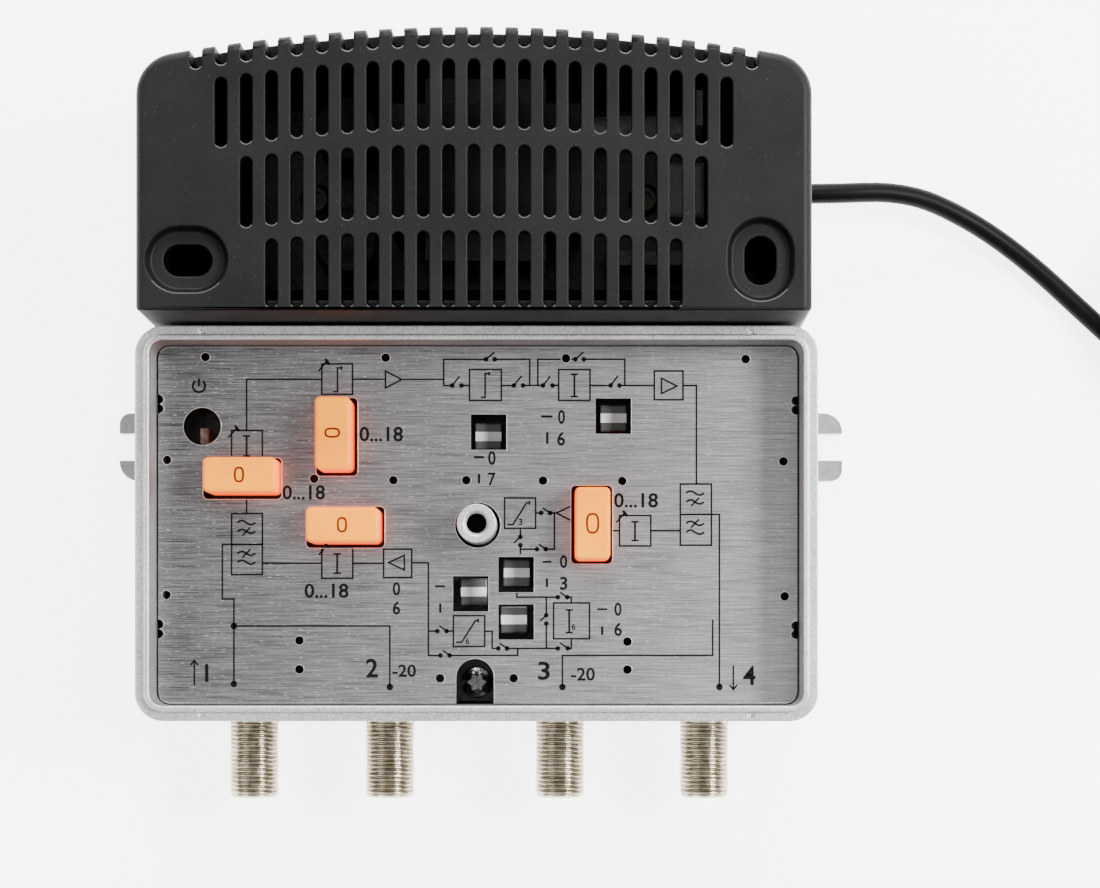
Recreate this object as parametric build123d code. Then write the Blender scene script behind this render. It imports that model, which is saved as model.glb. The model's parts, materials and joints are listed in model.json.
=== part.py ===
"""House distribution amplifier for aerial and cable television, lying on its back with its lid off.

Units are millimetres. X runs along the connector row, Y from the connectors to the power housing,
Z up from the back face. The origin is the middle of the footprint, on the back face.
"""
import math
import os
from build123d import *

# Whole object
tray_width = 123.6
tray_depth = 71.6
power_depth = 51.35
seam = 0.1
connector_reach = 14.75
total_depth = connector_reach + tray_depth + seam + power_depth
tray_front = -total_depth / 2 + connector_reach
tray_back = tray_front + tray_depth
tray_y = (tray_front + tray_back) / 2
power_front = tray_back + seam
power_back = power_front + power_depth

# Clearances and allowances
clear = 0.05
seat_gap = 0.3
overrun = 1.0

# Die-cast tray
rim_z = 36.0
rim_wall = 2.8
rim_drop = 5.0
rim_step = 0.8
lip_width = 1.0
lip_rise = 1.5
tray_floor = 2.5
tray_corner = 5.2
cavity_corner = 2.4
back_edge_radius = 1.0
cavity_width = tray_width - 2 * rim_wall
cavity_depth = tray_depth - 2 * rim_wall
lower_half_width = tray_width / 2 - rim_step
lower_front = tray_front + rim_step
lower_back = tray_back - rim_step
dimple_half = 0.5
dimple_depth = 0.4
dimple_x_share = 0.402

# Wall ears on the tray's sides
ear_reach = 8.0
ear_height = 12.9
ear_slot = 5.2
ear_thick = 4.0
ear_slot_depth = 5.0
ear_round = 2.1
ear_blunt = 3.6
ear_y_share = 0.22

# Lid post
post_radius = 3.6
post_foot_radius = 5.0
post_foot_rise = 4.0
tap_radius = 1.7
tap_depth = 11.0
tap_chamfer = 0.6

# Main circuit board and what holds it
board_thick = 1.6
board_top = 13.5
board_bottom = board_top - board_thick
board_gap = 0.5
boss_radius = 3.1
boss_spread_x_share = 0.44
boss_spread_y_share = 0.39
screw_radius = 1.4
screw_length = 8.0
screw_head_radius = 2.95
screw_head_height = 2.3
screw_drive_radius = 1.6
screw_drive_depth = 1.3
front_screw_x = -0.5
front_screw_inset = 3.95

# Face plate
plate_thick = 0.5
plate_top = 27.0
plate_bottom = plate_top - plate_thick
plate_gap = 0.3
plate_width = cavity_width - 2 * plate_gap
plate_depth = cavity_depth - 2 * plate_gap
plate_corner = 2.2
power_window_radius = 3.5
power_window_shares = (-0.431, 0.277)
post_window_radius = 4.2
arch_width = 7.0
arch_crown = 8.2
pin_hole_radius = 0.85
pin_hole_shares = (
    (-0.426, 0.472), (-0.144, 0.470), (0.138, 0.468), (0.419, 0.466), (-0.486, 0.183),
    (0.478, 0.179), (-0.256, 0.130), (-0.132, 0.126), (-0.018, 0.126), (0.102, 0.125),
    (0.226, 0.124), (-0.487, -0.196), (0.480, -0.200), (-0.279, -0.324), (-0.279, -0.405),
    (0.234, -0.327), (0.234, -0.406), (-0.059, -0.430), (0.056, -0.430),
)
edge_hole_shares = (
    (-0.498, 0.353), (-0.498, 0.327), (-0.498, -0.278), (-0.498, -0.305),
    (0.497, 0.349), (0.497, 0.323), (0.497, -0.283), (0.497, -0.307),
)

# Screening frame under the face plate
screen_thick = 0.5
screen_inset = 0.65
screen_corner = 1.6
screen_wall_shares = (-0.088, 0.115)
screen_slot = 3.0
screen_slot_rise = 3.4

# Jumper plugs, each on a header of two by two pins
pitch = 2.54
jumper_side = 2 * pitch
jumper_height = 5.6
jumper_chamfer = 0.25
header_height = 2.5
pin_side = 0.64
pin_hole_side = 0.8
pin_tail = 1.2
pin_stand = 7.2
jumper_pocket_width = 1.1
jumper_pocket_length = 4.3
jumper_pocket_depth = 4.9
clip_thick = 0.25
clip_width = 0.8
clip_drop = 3.4
jumper_window = 6.6
jumper_play = (jumper_window - jumper_side) / 2 - seat_gap
jumper_window_shares = (
    (0.017, 0.261), (0.212, 0.306), (0.060, -0.139), (-0.011, -0.193), (0.060, -0.272),
)
jumper_play_shares = ((-0.3, -1.0), (0.3, 0.0), (0.1, 1.0), (0.9, 1.0), (-1.0, 1.0))

# Plug-in pads, each on a socket of three bores
pad_length = 13.2
pad_width = 6.4
pad_top = 34.5
pad_corner = 1.0
pad_edge = 0.6
pad_pin_engage = 5.9
pad_pin_seat = 2.0
socket_length = 8.2
socket_width = 2.6
socket_height = 8.0
socket_bore_side = 1.0
pad_window_margin = 0.65
pad_window_corner = 0.9
pad_shares = ((-0.367, 0.136), (-0.223, 0.252), (-0.208, -0.003), (0.179, 0.001))
pad_turned = (False, True, False, True)
pad_window_play_shares = ((-0.4, -1.0), (0.9, -0.8), (0.3, -0.6), (-0.3, 0.0))
pad_window_play = pad_window_margin - seat_gap

# Parts soldered to the main board
can_side = 7.6
can_height = 9.5
can_corner = 0.6
can_shares = ((-0.42, -0.06), (-0.33, -0.36), (0.33, 0.36), (0.40, -0.02), (0.30, -0.38), (-0.05, 0.40))
module_length = 20.0
module_width = 8.0
module_height = 7.0
module_shares = ((-0.30, 0.40), (-0.36, -0.20))
board_can_radius = 3.15
board_can_height = 8.5
board_can_shares = ((0.07, 0.40), (0.40, 0.20), (0.19, -0.33), (-0.20, -0.33))
chip_length = 2.0
chip_width = 1.25
chip_height = 0.6
chip_rows = 2
chip_columns = 9
chip_pitch_x = 4.2
chip_pitch_y = 3.0
chip_field_share = (0.30, -0.21)
led_width = 1.7
led_depth = 3.2
led_top = 23.4
led_shares = (-0.431, 0.252)
led_leg_radius = 0.3
led_body_height = 5.0

# Threaded coaxial connectors along the front wall
barrel_radius = 4.7
barrel_bore = 3.5
barrel_chamfer = 0.5
barrel_relief = 0.6
shank_radius = 4.2
barrel_z = 14.0
barrel_recess = 1.0
connector_x_shares = (-0.342, -0.136, 0.122, 0.341)
contact_radius = 0.5
contact_run = 4.0
contact_mouth_radius = 0.9
contact_mouth_depth = 6.0

# Power housing
power_half_width = 60.0
power_z = 54.0
power_split_z = 13.0
power_wall = 2.2
power_roof = 2.5
power_floor = 2.4
power_back_radius = 305.0
power_rear_corner = 8.0
power_front_corner = 0.9
power_edge = 1.8
power_front_edge = 0.3
base_edge = 0.6
draft_angle = 1.0
tongue_thick = 1.0
tongue_rise = 1.6
tongue_gap = 0.15

# Ventilation slots: one comb over the rear edge and three rows
slot_width = 2.1
comb_count = 23
comb_side_room = 11.3
slot_pitch = 2 * (power_half_width - comb_side_room) / (comb_count - 1)
comb_run = 4.4
comb_inner = power_back - comb_run
comb_drop = 8.5
comb_bow_share = 0.98
row_counts = (21, 19, 17)
row_far_shares = (0.871, 0.579, 0.285)
row_near_shares = (0.634, 0.334, 0.024)
row_far_bow_shares = (1.0, 1.21, 1.41)
row_near_bow_shares = (0.98, 1.38, 0)

# Wall-screw wells through the power housing
well_side_inset = 9.7
well_front_inset = 9.65
well_x = power_half_width - well_side_inset
well_y = power_front + well_front_inset
well_slot_length = 8.5
well_slot_width = 5.5
well_wall = 1.6
well_dish_length = 14.6
well_dish_width = 11.7
well_dish_depth = 2.0
well_dish_slope = 0.8

# Screws and posts that join the power housing to itself and to the tray
house_post_radius = 3.2
house_post_shares = ((0.672, 0.0945), (0.847, 0.7215))
house_post_front_x = house_post_shares[0][0] * power_half_width
house_screw_length = 12.0
house_head_depth = 3.5
join_post_gap = 16.32
join_x = house_post_front_x - join_post_gap
join_z = 7.0
join_boss_depth = 5.0
join_head_height = 2.2
join_head_radius = 2.6

# Power supply board and its parts
psu_board_z = 8.0
psu_board_side_room = 18.0
psu_board_front_room = 9.25
psu_board_back_room = 8.3
psu_board_half_width = power_half_width - psu_board_side_room
psu_board_front = power_front + psu_board_front_room
psu_board_back = power_back - psu_board_back_room
psu_board_y = (psu_board_front + psu_board_back) / 2
part_inset = 4.2
psu_board_top = psu_board_z + board_thick
psu_screw_inset = 11.0
psu_screw_x = psu_board_half_width - psu_screw_inset
psu_screw_y = psu_board_y
psu_foot_radius = 3.0
core_width_share = 0.405
core_width = core_width_share * 2 * psu_board_half_width
core_height = 33.0
core_stack = 22.0
core_leg_share = 0.324
core_frame_share = 0.159
core_leg = core_leg_share * core_width
core_frame = core_frame_share * core_width
core_x = 1.7
core_shift = 1.7
core_y = psu_board_y + core_shift
bobbin_gap = 0.2
bobbin_wall = 0.8
bobbin_flange = 1.0
winding_room = 0.7
core_window = core_width / 2 - core_frame - core_leg / 2
winding_thick = core_window - bobbin_gap - bobbin_wall - winding_room
winding_corner = 2.5
cap_radius = 6.25
cap_height = 21.0
cap_edge = 0.8
cap_gap = 2.45
cap_spread = 10.3
cap_x = core_x - core_width / 2 - cap_gap - cap_radius
bridge_length = 15.0
bridge_x = psu_screw_x
bridge_y = psu_board_front + part_inset
bridge_thick = 3.6
bridge_height = 12.0
fuse_radius = 2.6
fuse_gap = 0.75
hook_thick = 1.2
hook_side_inset = 0.6
hook_x = psu_board_half_width - hook_side_inset
fuse_length = hook_x - hook_thick - core_x - core_width / 2 - 2 * fuse_gap
fuse_x = core_x + core_width / 2 + fuse_gap + fuse_length / 2
fuse_y = psu_board_back - part_inset
fuse_rise = 4.4
fuse_clip_wide = 5.0
fuse_clip_thick = 0.5
block_length = 7.0
block_depth = 10.0
block_height = 9.5

# Low-voltage lead from the power board to the main board
lead_post_gap = 6.32
lead_x = lead_post_gap - house_post_front_x
lead_radius = 1.5
lead_z = 5.4
lead_bend = 2.4
lead_power_inset = 2.6
lead_tray_inset = 9.45
lead_power_y = psu_board_front + lead_power_inset
lead_tray_y = tray_back - lead_tray_inset
grommet_radius = 2.6
grommet_flange = 0.9
grommet_flange_radius = 3.6

# Mains cord, its clamp, coil, tie and plug
cord_radius = 1.9
cord_z = power_split_z
cord_inset = 26.85
cord_y = power_front + cord_inset
cord_hole_gap = 0.25
clamp_gap = 5.0
clamp_length = 6.0
clamp_x = psu_board_half_width + clamp_gap + clamp_length / 2
clamp_half_width = 6.4
clamp_bar_height = 3.4
clamp_screw_y = 4.2
clamp_split = 0.3
hook_back_inset = 2.0
hook_y = psu_board_back - hook_back_inset
hook_height = 16.0
hook_arm = 3.2
cord_arc_share = 0.45
coil_x = 153.0
coil_y = 24.4
coil_mean_radius = 21.2
coil_turns_per_layer = 2.5
coil_layers = 4
coil_pitch = 4.32
coil_layer_rise = 4.28
coil_entry_angle = 226.0
tie_width = 5.0
tie_thick = 0.8
tie_gap = 0.25
tie_angle = 40.0
plug_length = 35.5
plug_width = 35.3
plug_thick = 13.7
plug_neck = 14.0
plug_neck_length = 11.0
plug_edge = 1.6
plug_pin_radius = 2.0
plug_pin_length = 19.0
plug_pin_spread = 18.6
plug_pin_seat = 6.0
plug_sleeve_radius = 1.75
plug_root_radius = 1.5
plug_sleeve_length = 10.0
plug_sleeve_wall = 0.55
plug_tip_round = 0.9

tray_inside_front = tray_front + rim_wall
screw_y = tray_front + rim_wall + front_screw_inset
power_inside_front = power_front + power_wall
coil_outer = coil_mean_radius + coil_turns_per_layer * coil_pitch / 2
coil_inner = coil_mean_radius - coil_turns_per_layer * coil_pitch / 2
coil_floor_z = cord_radius + tie_thick + tie_gap


def box(x0, x1, y0, y1, z0, z1):
    """A block between two corners."""
    middle = Pos((x0 + x1) / 2, (y0 + y1) / 2, (z0 + z1) / 2)
    return middle * Box(x1 - x0, y1 - y0, z1 - z0)


def upright(x, y, z0, z1, radius):
    """A round bar along Z."""
    return Pos(x, y, (z0 + z1) / 2) * Cylinder(radius, z1 - z0)


def along_y(x, z, y0, y1, radius):
    """A round bar along Y."""
    return Pos(x, (y0 + y1) / 2, z) * Rot(90, 0, 0) * Cylinder(radius, y1 - y0)


def along_x(y, z, x0, x1, radius):
    """A round bar along X."""
    return Pos((x0 + x1) / 2, y, z) * Rot(0, 90, 0) * Cylinder(radius, x1 - x0)


def slab(face, z0, z1):
    """A flat outline raised between two heights."""
    return extrude(Pos(0, 0, z0) * face, z1 - z0)


def rounded(width, depth, corner, x=0, y=0):
    """A rectangle with round corners about a point."""
    return Pos(x, y) * RectangleRounded(width, depth, corner)


def stadium(x, y, length, width, turned):
    """A slot outline, its long way along X, or along Y where it is turned."""
    return Pos(x, y) * Rot(0, 0, 90 if turned else 0) * SlotOverall(length, width)


def plate_point(shares):
    """A point of the face plate from its shares of the plate's width and depth."""
    return shares[0] * plate_width, tray_y + shares[1] * plate_depth


def save(name, shape):
    """Write one named piece, or one group of like pieces."""
    export_step(shape, os.path.join("parts", name + ".step"))


def group(shapes):
    """Separate solids kept together under one name."""
    solids = [solid for shape in shapes for solid in shape.solids()]
    return Compound(children=solids)


def boss_places():
    """The four corner bosses that carry the main board."""
    return [
        (sx * boss_spread_x_share * cavity_width, tray_y + sy * boss_spread_y_share * cavity_depth)
        for sx in (-1, 1)
        for sy in (-1, 1)
    ]


def board_screw_places():
    """Every screw of the main board: four corners and the one in the arch."""
    return boss_places() + [(front_screw_x, screw_y)]


def connector_places():
    """Where the four connectors stand along the front wall."""
    return [share * tray_width for share in connector_x_shares]


def jumper_place(index):
    """The middle of a jumper plug, a little off the middle of its window."""
    x, y = plate_point(jumper_window_shares[index])
    play = jumper_play_shares[index]
    return x + play[0] * jumper_play, y + play[1] * jumper_play


def pin_places(x, y):
    """Two by two pins about a point."""
    return [(x + sx * pitch / 2, y + sy * pitch / 2) for sx in (-1, 1) for sy in (-1, 1)]


def pad_pin_places(index):
    """Three pins in a line under a pad."""
    x, y = plate_point(pad_shares[index])
    steps = (-pitch, 0, pitch)
    if pad_turned[index]:
        return [(x, y + step) for step in steps]
    return [(x + step, y) for step in steps]


def ear(side):
    """A forked ear for one wall screw: one prong is round, the other is blunt."""
    y = tray_y + ear_y_share * tray_depth
    inner = lower_half_width - overrun
    outer = lower_half_width + ear_reach
    middle = (inner + outer) / 2
    face = Pos(side * middle, y) * Rectangle(outer - inner, ear_height)
    tips = face.vertices().sort_by(Axis.X)
    pair = (tips[-2:] if side > 0 else tips[:2]).sort_by(Axis.Y)
    first, second = (ear_blunt, ear_round) if side < 0 else (ear_round, ear_blunt)
    face = fillet(pair[0], first)
    tips = face.vertices().filter_by(lambda v: abs(v.Y - y) > ear_height / 2 - clear)
    tips = tips.sort_by(Axis.X)
    corner = tips[-1] if side > 0 else tips[0]
    corner = [v for v in face.vertices() if abs(v.Y - (y + ear_height / 2)) < clear]
    corner = sorted(corner, key=lambda v: side * v.X)[-1]
    face = fillet(corner, second)
    slot_end = outer - ear_slot_depth
    slot = Pos(side * (slot_end + outer + overrun) / 2, y) * Rectangle(outer + overrun - slot_end, ear_slot)
    hollow = Pos(side * slot_end, y) * Circle(ear_slot / 2)
    return slab(face, 0, ear_thick) - slab(slot + hollow, -overrun, ear_thick + overrun)


def tray():
    """Cast tray: floor, drafted look of a thick rim band, raised lip, ears, post and bosses."""
    lower = slab(
        rounded(2 * lower_half_width, lower_back - lower_front, tray_corner - rim_step, 0, tray_y),
        0,
        rim_z - rim_drop,
    )
    lower = fillet(lower.edges().group_by(Axis.Z)[0], back_edge_radius)
    band = slab(rounded(tray_width, tray_depth, tray_corner, 0, tray_y), rim_z - rim_drop, rim_z)
    lip = slab(
        rounded(
            cavity_width + 2 * lip_width, cavity_depth + 2 * lip_width, cavity_corner + lip_width, 0, tray_y
        ),
        rim_z,
        rim_z + lip_rise,
    )
    body = lower + band + lip
    cavity = rounded(cavity_width, cavity_depth, cavity_corner, 0, tray_y)
    body -= slab(cavity, tray_floor, rim_z + lip_rise + overrun)
    body += ear(-1) + ear(1)
    body += upright(0, tray_y, 0, rim_z, post_radius)
    body += Pos(0, tray_y, tray_floor + post_foot_rise / 2) * Cone(
        post_foot_radius, post_radius, post_foot_rise
    )
    for x, y in board_screw_places():
        body += upright(x, y, 0, board_bottom, boss_radius)
    for x in (-join_x, join_x):
        wall = tray_back - rim_wall
        body += along_y(x, join_z, wall - join_boss_depth, wall + rim_wall / 2, boss_radius)
    return body - tray_cuts()


def tray_cuts():
    """Everything drilled or notched in the tray."""
    cuts = upright(0, tray_y, rim_z - tap_depth, rim_z + overrun, tap_radius)
    cuts += Pos(0, tray_y, rim_z - tap_chamfer / 2) * Cone(
        tap_radius, tap_radius + tap_chamfer, tap_chamfer
    )
    for x, y in board_screw_places():
        cuts += upright(x, y, board_bottom - screw_length, board_bottom + overrun, screw_radius + clear)
    for x in connector_places():
        cuts += along_y(x, barrel_z, tray_front - overrun, tray_inside_front + overrun, shank_radius + clear)
    for x in (-join_x, join_x):
        start = tray_back - rim_wall - join_boss_depth + overrun
        cuts += along_y(x, join_z, start, tray_back + overrun, screw_radius + clear)
    cuts += along_y(lead_x, lead_z, tray_back - rim_wall - overrun, tray_back, grommet_radius + clear)
    lip_half = cavity_depth / 2 + lip_width
    for sx in (-1, 1):
        for sy in (-1, 1):
            x = sx * dimple_x_share * tray_width
            y = tray_y + sy * (lip_half + dimple_half)
            z = rim_z - dimple_depth
            cuts += box(
                x - dimple_half, x + dimple_half, y - dimple_half, y + dimple_half, z, rim_z + overrun
            )
    return cuts


def face_plate():
    """Sheet plate with square jumper windows, pad windows, round holes and the screw's arch."""
    outline = rounded(plate_width, plate_depth, plate_corner, 0, tray_y)
    x, y = plate_point(power_window_shares)
    holes = [Pos(x, y) * Circle(power_window_radius), Pos(0, tray_y) * Circle(post_window_radius)]
    for shares in pin_hole_shares + edge_hole_shares:
        x, y = plate_point(shares)
        holes.append(Pos(x, y) * Circle(pin_hole_radius))
    for shares in jumper_window_shares:
        x, y = plate_point(shares)
        holes.append(Pos(x, y) * Rectangle(jumper_window, jumper_window))
    for index, shares in enumerate(pad_shares):
        x, y = plate_point(shares)
        play = pad_window_play_shares[index]
        x += play[0] * pad_window_play
        y += play[1] * pad_window_play
        long_side = pad_length + 2 * pad_window_margin
        short_side = pad_width + 2 * pad_window_margin
        sides = (short_side, long_side) if pad_turned[index] else (long_side, short_side)
        holes.append(rounded(sides[0], sides[1], pad_window_corner, x, y))
    front = tray_y - plate_depth / 2
    crown = front + arch_crown - arch_width / 2
    holes.append(Pos(front_screw_x, crown) * Circle(arch_width / 2))
    holes.append(
        Pos(front_screw_x, (crown + front - overrun) / 2) * Rectangle(arch_width, crown - front + overrun)
    )
    for hole in holes:
        outline -= hole
    return slab(outline, plate_bottom, plate_top)


def main_board():
    """Circuit board with holes for its screws, the lid post, the header pins and the lead."""
    board = rounded(cavity_width - 2 * board_gap, cavity_depth - 2 * board_gap, cavity_corner, 0, tray_y)
    board -= Pos(0, tray_y) * Circle(post_window_radius)
    for x, y in board_screw_places():
        board -= Pos(x, y) * Circle(screw_radius + clear)
    for index in range(len(jumper_window_shares)):
        for x, y in pin_places(*jumper_place(index)):
            board -= Pos(x, y) * Rectangle(pin_hole_side, pin_hole_side)
    return slab(board, board_bottom, board_top)


def screening_frame():
    """Sheet walls that stand on the board, carry the face plate and part the circuits."""
    width = plate_width - 2 * screen_inset
    depth = plate_depth - 2 * screen_inset
    inner_width = width - 2 * screen_thick
    inner_depth = depth - 2 * screen_thick
    inner = rounded(inner_width, inner_depth, screen_corner - screen_thick, 0, tray_y)
    walls = rounded(width, depth, screen_corner, 0, tray_y) - inner
    half = depth / 2 - screen_thick / 2
    for share in screen_wall_shares:
        walls += Pos(share * plate_width, tray_y) * Rectangle(screen_thick, 2 * half)
    frame = slab(walls, board_top, plate_bottom)
    front = tray_y - depth / 2
    for x in connector_places():
        frame -= box(
            x - screen_slot / 2,
            x + screen_slot / 2,
            front - overrun,
            front + overrun,
            board_top - overrun,
            board_top + screen_slot_rise,
        )
    frame -= box(
        front_screw_x - arch_width / 2,
        front_screw_x + arch_width / 2,
        front - overrun,
        front + overrun,
        board_top - overrun,
        plate_top,
    )
    return frame


def pan_screw(x, y, seat, length, head_radius=screw_head_radius, head_height=screw_head_height):
    """Pan-head screw that points down, with a round head on its seat."""
    head = upright(x, y, seat, seat + head_height, head_radius)
    head = chamfer(head.edges().group_by(Axis.Z)[-1], head_height / 3)
    drive = Pos(x, y, seat + head_height - screw_drive_depth) * RegularPolygon(screw_drive_radius, 6)
    head -= extrude(drive, screw_drive_depth + overrun)
    return head + upright(x, y, seat - length, seat, screw_radius)


def jumper(index):
    """Black jumper plug and the two spring clips that bridge its pins, side to side."""
    x, y = jumper_place(index)
    low = board_top + header_height + seat_gap
    half = jumper_side / 2
    cap = box(x - half, x + half, y - half, y + half, low, low + jumper_height)
    cap = chamfer(cap.edges().group_by(Axis.Z)[-1], jumper_chamfer)
    roof = low + jumper_pocket_depth
    clips = []
    for step in (-pitch / 2, pitch / 2):
        row = y + step
        reach = jumper_pocket_length / 2
        wide = jumper_pocket_width / 2
        cap -= box(x - reach, x + reach, row - wide, row + wide, low - overrun, roof)
        top = roof - clear
        tongue_in = pitch / 2 + pin_side / 2 + clear
        tongue_out = tongue_in + clip_thick
        strip = clip_width / 2
        clip = box(x - tongue_out, x + tongue_out, row - strip, row + strip, top - clip_thick, top)
        for side in (-1, 1):
            near = min(side * tongue_in, side * tongue_out)
            far = max(side * tongue_in, side * tongue_out)
            clip += box(x + near, x + far, row - strip, row + strip, top - clip_drop, top)
        clips.append(clip)
    return cap, group(clips)


def header(index):
    """Insulating base of one two-by-two header, with its four pins beside it."""
    x, y = jumper_place(index)
    half = jumper_side / 2
    base = box(x - half, x + half, y - half, y + half, board_top, board_top + header_height)
    pins = []
    for px, py in pin_places(x, y):
        hole = pin_side / 2 + clear
        base -= box(px - hole, px + hole, py - hole, py + hole, 0, board_top + header_height + overrun)
        reach = pin_side / 2
        pins.append(
            box(
                px - reach,
                px + reach,
                py - reach,
                py + reach,
                board_bottom - pin_tail,
                board_top + pin_stand,
            )
        )
    return base, pins


def pad(index):
    """Orange plug-in pad and its three pins."""
    x, y = plate_point(pad_shares[index])
    low = board_top + socket_height + seat_gap
    sides = (pad_width, pad_length) if pad_turned[index] else (pad_length, pad_width)
    case = slab(rounded(sides[0], sides[1], pad_corner, x, y), low, pad_top)
    case = fillet(case.edges().group_by(Axis.Z)[-1], pad_edge)
    pins = []
    for px, py in pad_pin_places(index):
        hole = pin_side / 2 + clear
        case -= box(px - hole, px + hole, py - hole, py + hole, low - overrun, low + pad_pin_seat)
        reach = pin_side / 2
        mouth = board_top + socket_height
        pins.append(
            box(
                px - reach,
                px + reach,
                py - reach,
                py + reach,
                mouth - pad_pin_engage,
                low + pad_pin_seat - clear,
            )
        )
    return case, group(pins)


def pad_socket(index):
    """Three-way socket on the board under a pad."""
    x, y = plate_point(pad_shares[index])
    turned = pad_turned[index]
    half_x = (socket_width if turned else socket_length) / 2
    half_y = (socket_length if turned else socket_width) / 2
    body = box(x - half_x, x + half_x, y - half_y, y + half_y, board_top, board_top + socket_height)
    floor_z = board_top + socket_height - pad_pin_engage - pin_tail
    for px, py in pad_pin_places(index):
        hole = socket_bore_side / 2
        body -= box(px - hole, px + hole, py - hole, py + hole, floor_z, plate_top)
    return body


def filter_can(shares):
    """Screened filter coil with a tuning hole in its top."""
    x, y = plate_point(shares)
    can = slab(Pos(x, y) * Rectangle(can_side, can_side), board_top, board_top + can_height)
    tuning_radius = can_side / 4
    return can - upright(x, y, board_top + can_height / 2, plate_bottom, tuning_radius)


def amp_module(shares):
    """Amplifier module lying on the board."""
    x, y = plate_point(shares)
    half_x, half_y = module_length / 2, module_width / 2
    body = box(x - half_x, x + half_x, y - half_y, y + half_y, board_top, board_top + module_height)
    return chamfer(body.edges().group_by(Axis.Z)[-1], can_corner)


def board_capacitor(shares):
    """Small upright capacitor."""
    x, y = plate_point(shares)
    can = upright(x, y, board_top, board_top + board_can_height, board_can_radius)
    return chamfer(can.edges().group_by(Axis.Z)[-1], can_corner)


def chips():
    """A field of small surface-mounted parts."""
    x0, y0 = plate_point(chip_field_share)
    made = []
    for column in range(chip_columns):
        for row in range(chip_rows):
            x = x0 + (column - (chip_columns - 1) / 2) * chip_pitch_x
            y = y0 + row * chip_pitch_y
            made.append(
                box(
                    x - chip_length / 2,
                    x + chip_length / 2,
                    y - chip_width / 2,
                    y + chip_width / 2,
                    board_top,
                    board_top + chip_height,
                )
            )
    return made


def power_led():
    """Flat lamp on two legs under its window."""
    x, y = plate_point(led_shares)
    low = led_top - led_body_height
    lamp = box(x - led_width / 2, x + led_width / 2, y - led_depth / 2, y + led_depth / 2, low, led_top)
    for side in (-1, 1):
        lamp += upright(x, y + side * led_depth / 4, board_top, low, led_leg_radius)
    return lamp


def connector(x):
    """Threaded barrel, its insulator and its centre contact."""
    tip = tray_front - connector_reach
    barrel = along_y(x, barrel_z, tip, lower_front - barrel_relief, barrel_radius)
    barrel = chamfer(barrel.edges().group_by(Axis.Y)[0], barrel_chamfer)
    barrel += along_y(x, barrel_z, tip + barrel_relief, tray_inside_front, shank_radius)
    barrel -= along_y(x, barrel_z, tip - overrun, tray_inside_front + overrun, barrel_bore)
    face = tip + barrel_recess
    insulator = along_y(x, barrel_z, face, tray_inside_front, barrel_bore - clear / 2)
    insulator -= along_y(x, barrel_z, face - overrun, face + contact_mouth_depth, contact_mouth_radius)
    insulator -= along_y(
        x, barrel_z, face, tray_inside_front + overrun, contact_radius + clear / 2
    )
    start = face + contact_mouth_depth
    contact = along_y(x, barrel_z, start, tray_inside_front + contact_run, contact_radius)
    return barrel, insulator, contact


def power_outline(inset, z):
    """Plan of the power housing: straight front and sides, a bowed back, round rear corners."""
    half = power_half_width - inset
    front = power_front + inset
    back = power_back - inset
    radius = power_back_radius - inset
    side_top = back - (radius - math.sqrt(radius**2 - half**2))
    edges = [
        Line((half, front), (half, side_top)),
        ThreePointArc((half, side_top), (0, back), (-half, side_top)),
        Line((-half, side_top), (-half, front)),
        Line((-half, front), (half, front)),
    ]
    face = make_face(edges)
    ends = face.vertices().sort_by(Axis.Y)
    face = fillet(ends[-2:], power_rear_corner - min(inset, power_rear_corner / 2))
    ends = face.vertices().sort_by(Axis.Y)
    face = chamfer(ends[:2], power_front_corner)
    return Pos(0, 0, z) * face


def power_point(shares):
    """A point of the power housing from its shares of the half width and of the depth."""
    return shares[0] * power_half_width, power_front + shares[1] * power_depth


def house_post_places():
    """The four posts that join the housing's cover to its base."""
    return [
        (side * x, y)
        for x, y in (power_point(shares) for shares in house_post_shares)
        for side in (-1, 1)
    ]


def power_block(inset, z0, z1):
    """The housing's plan raised with drafted sides, which lean in as they rise."""
    return extrude(power_outline(inset, z0), z1 - z0, taper=draft_angle)


def bowed(radius, middle_y, x):
    """Height of a bowed row line at x; a radius of zero means a straight row."""
    if radius == 0:
        return middle_y
    return middle_y - (radius - math.sqrt(radius**2 - x**2))


def slot_xs(count):
    """Even places about the middle."""
    return [(index - (count - 1) / 2) * slot_pitch for index in range(count)]


def grille_cuts():
    """Three bowed rows of round-ended slots in the roof."""
    cuts = []
    rows = zip(row_counts, row_far_shares, row_near_shares, row_far_bow_shares, row_near_bow_shares)
    for count, far, near, far_bow, near_bow in rows:
        for x in slot_xs(count):
            top = bowed(far_bow * power_back_radius, power_front + far * power_depth, x)
            bottom = bowed(near_bow * power_back_radius, power_front + near * power_depth, x)
            outline = Pos(x, (top + bottom) / 2) * Rot(0, 0, 90) * SlotOverall(top - bottom, slot_width)
            cuts.append(slab(outline, power_z - power_roof - overrun, power_z + overrun))
    return cuts


def comb_cuts():
    """Slots that run over the rear edge and down the back wall, like a comb."""
    cuts = []
    for x in slot_xs(comb_count):
        inner = bowed(comb_bow_share * power_back_radius, comb_inner, x) + slot_width / 2
        outline = Pos(x, inner) * Circle(slot_width / 2)
        outline += Pos(x, (inner + power_back + overrun) / 2) * Rectangle(
            slot_width, power_back + overrun - inner
        )
        cuts.append(slab(outline, power_z - comb_drop, power_z + overrun))
    return cuts


def well_outline(side, grow):
    """Slot of a wall-screw well, lying on the left and standing on the right."""
    return stadium(
        side * well_x, well_y, well_slot_length + 2 * grow, well_slot_width + 2 * grow, side > 0
    )


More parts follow.
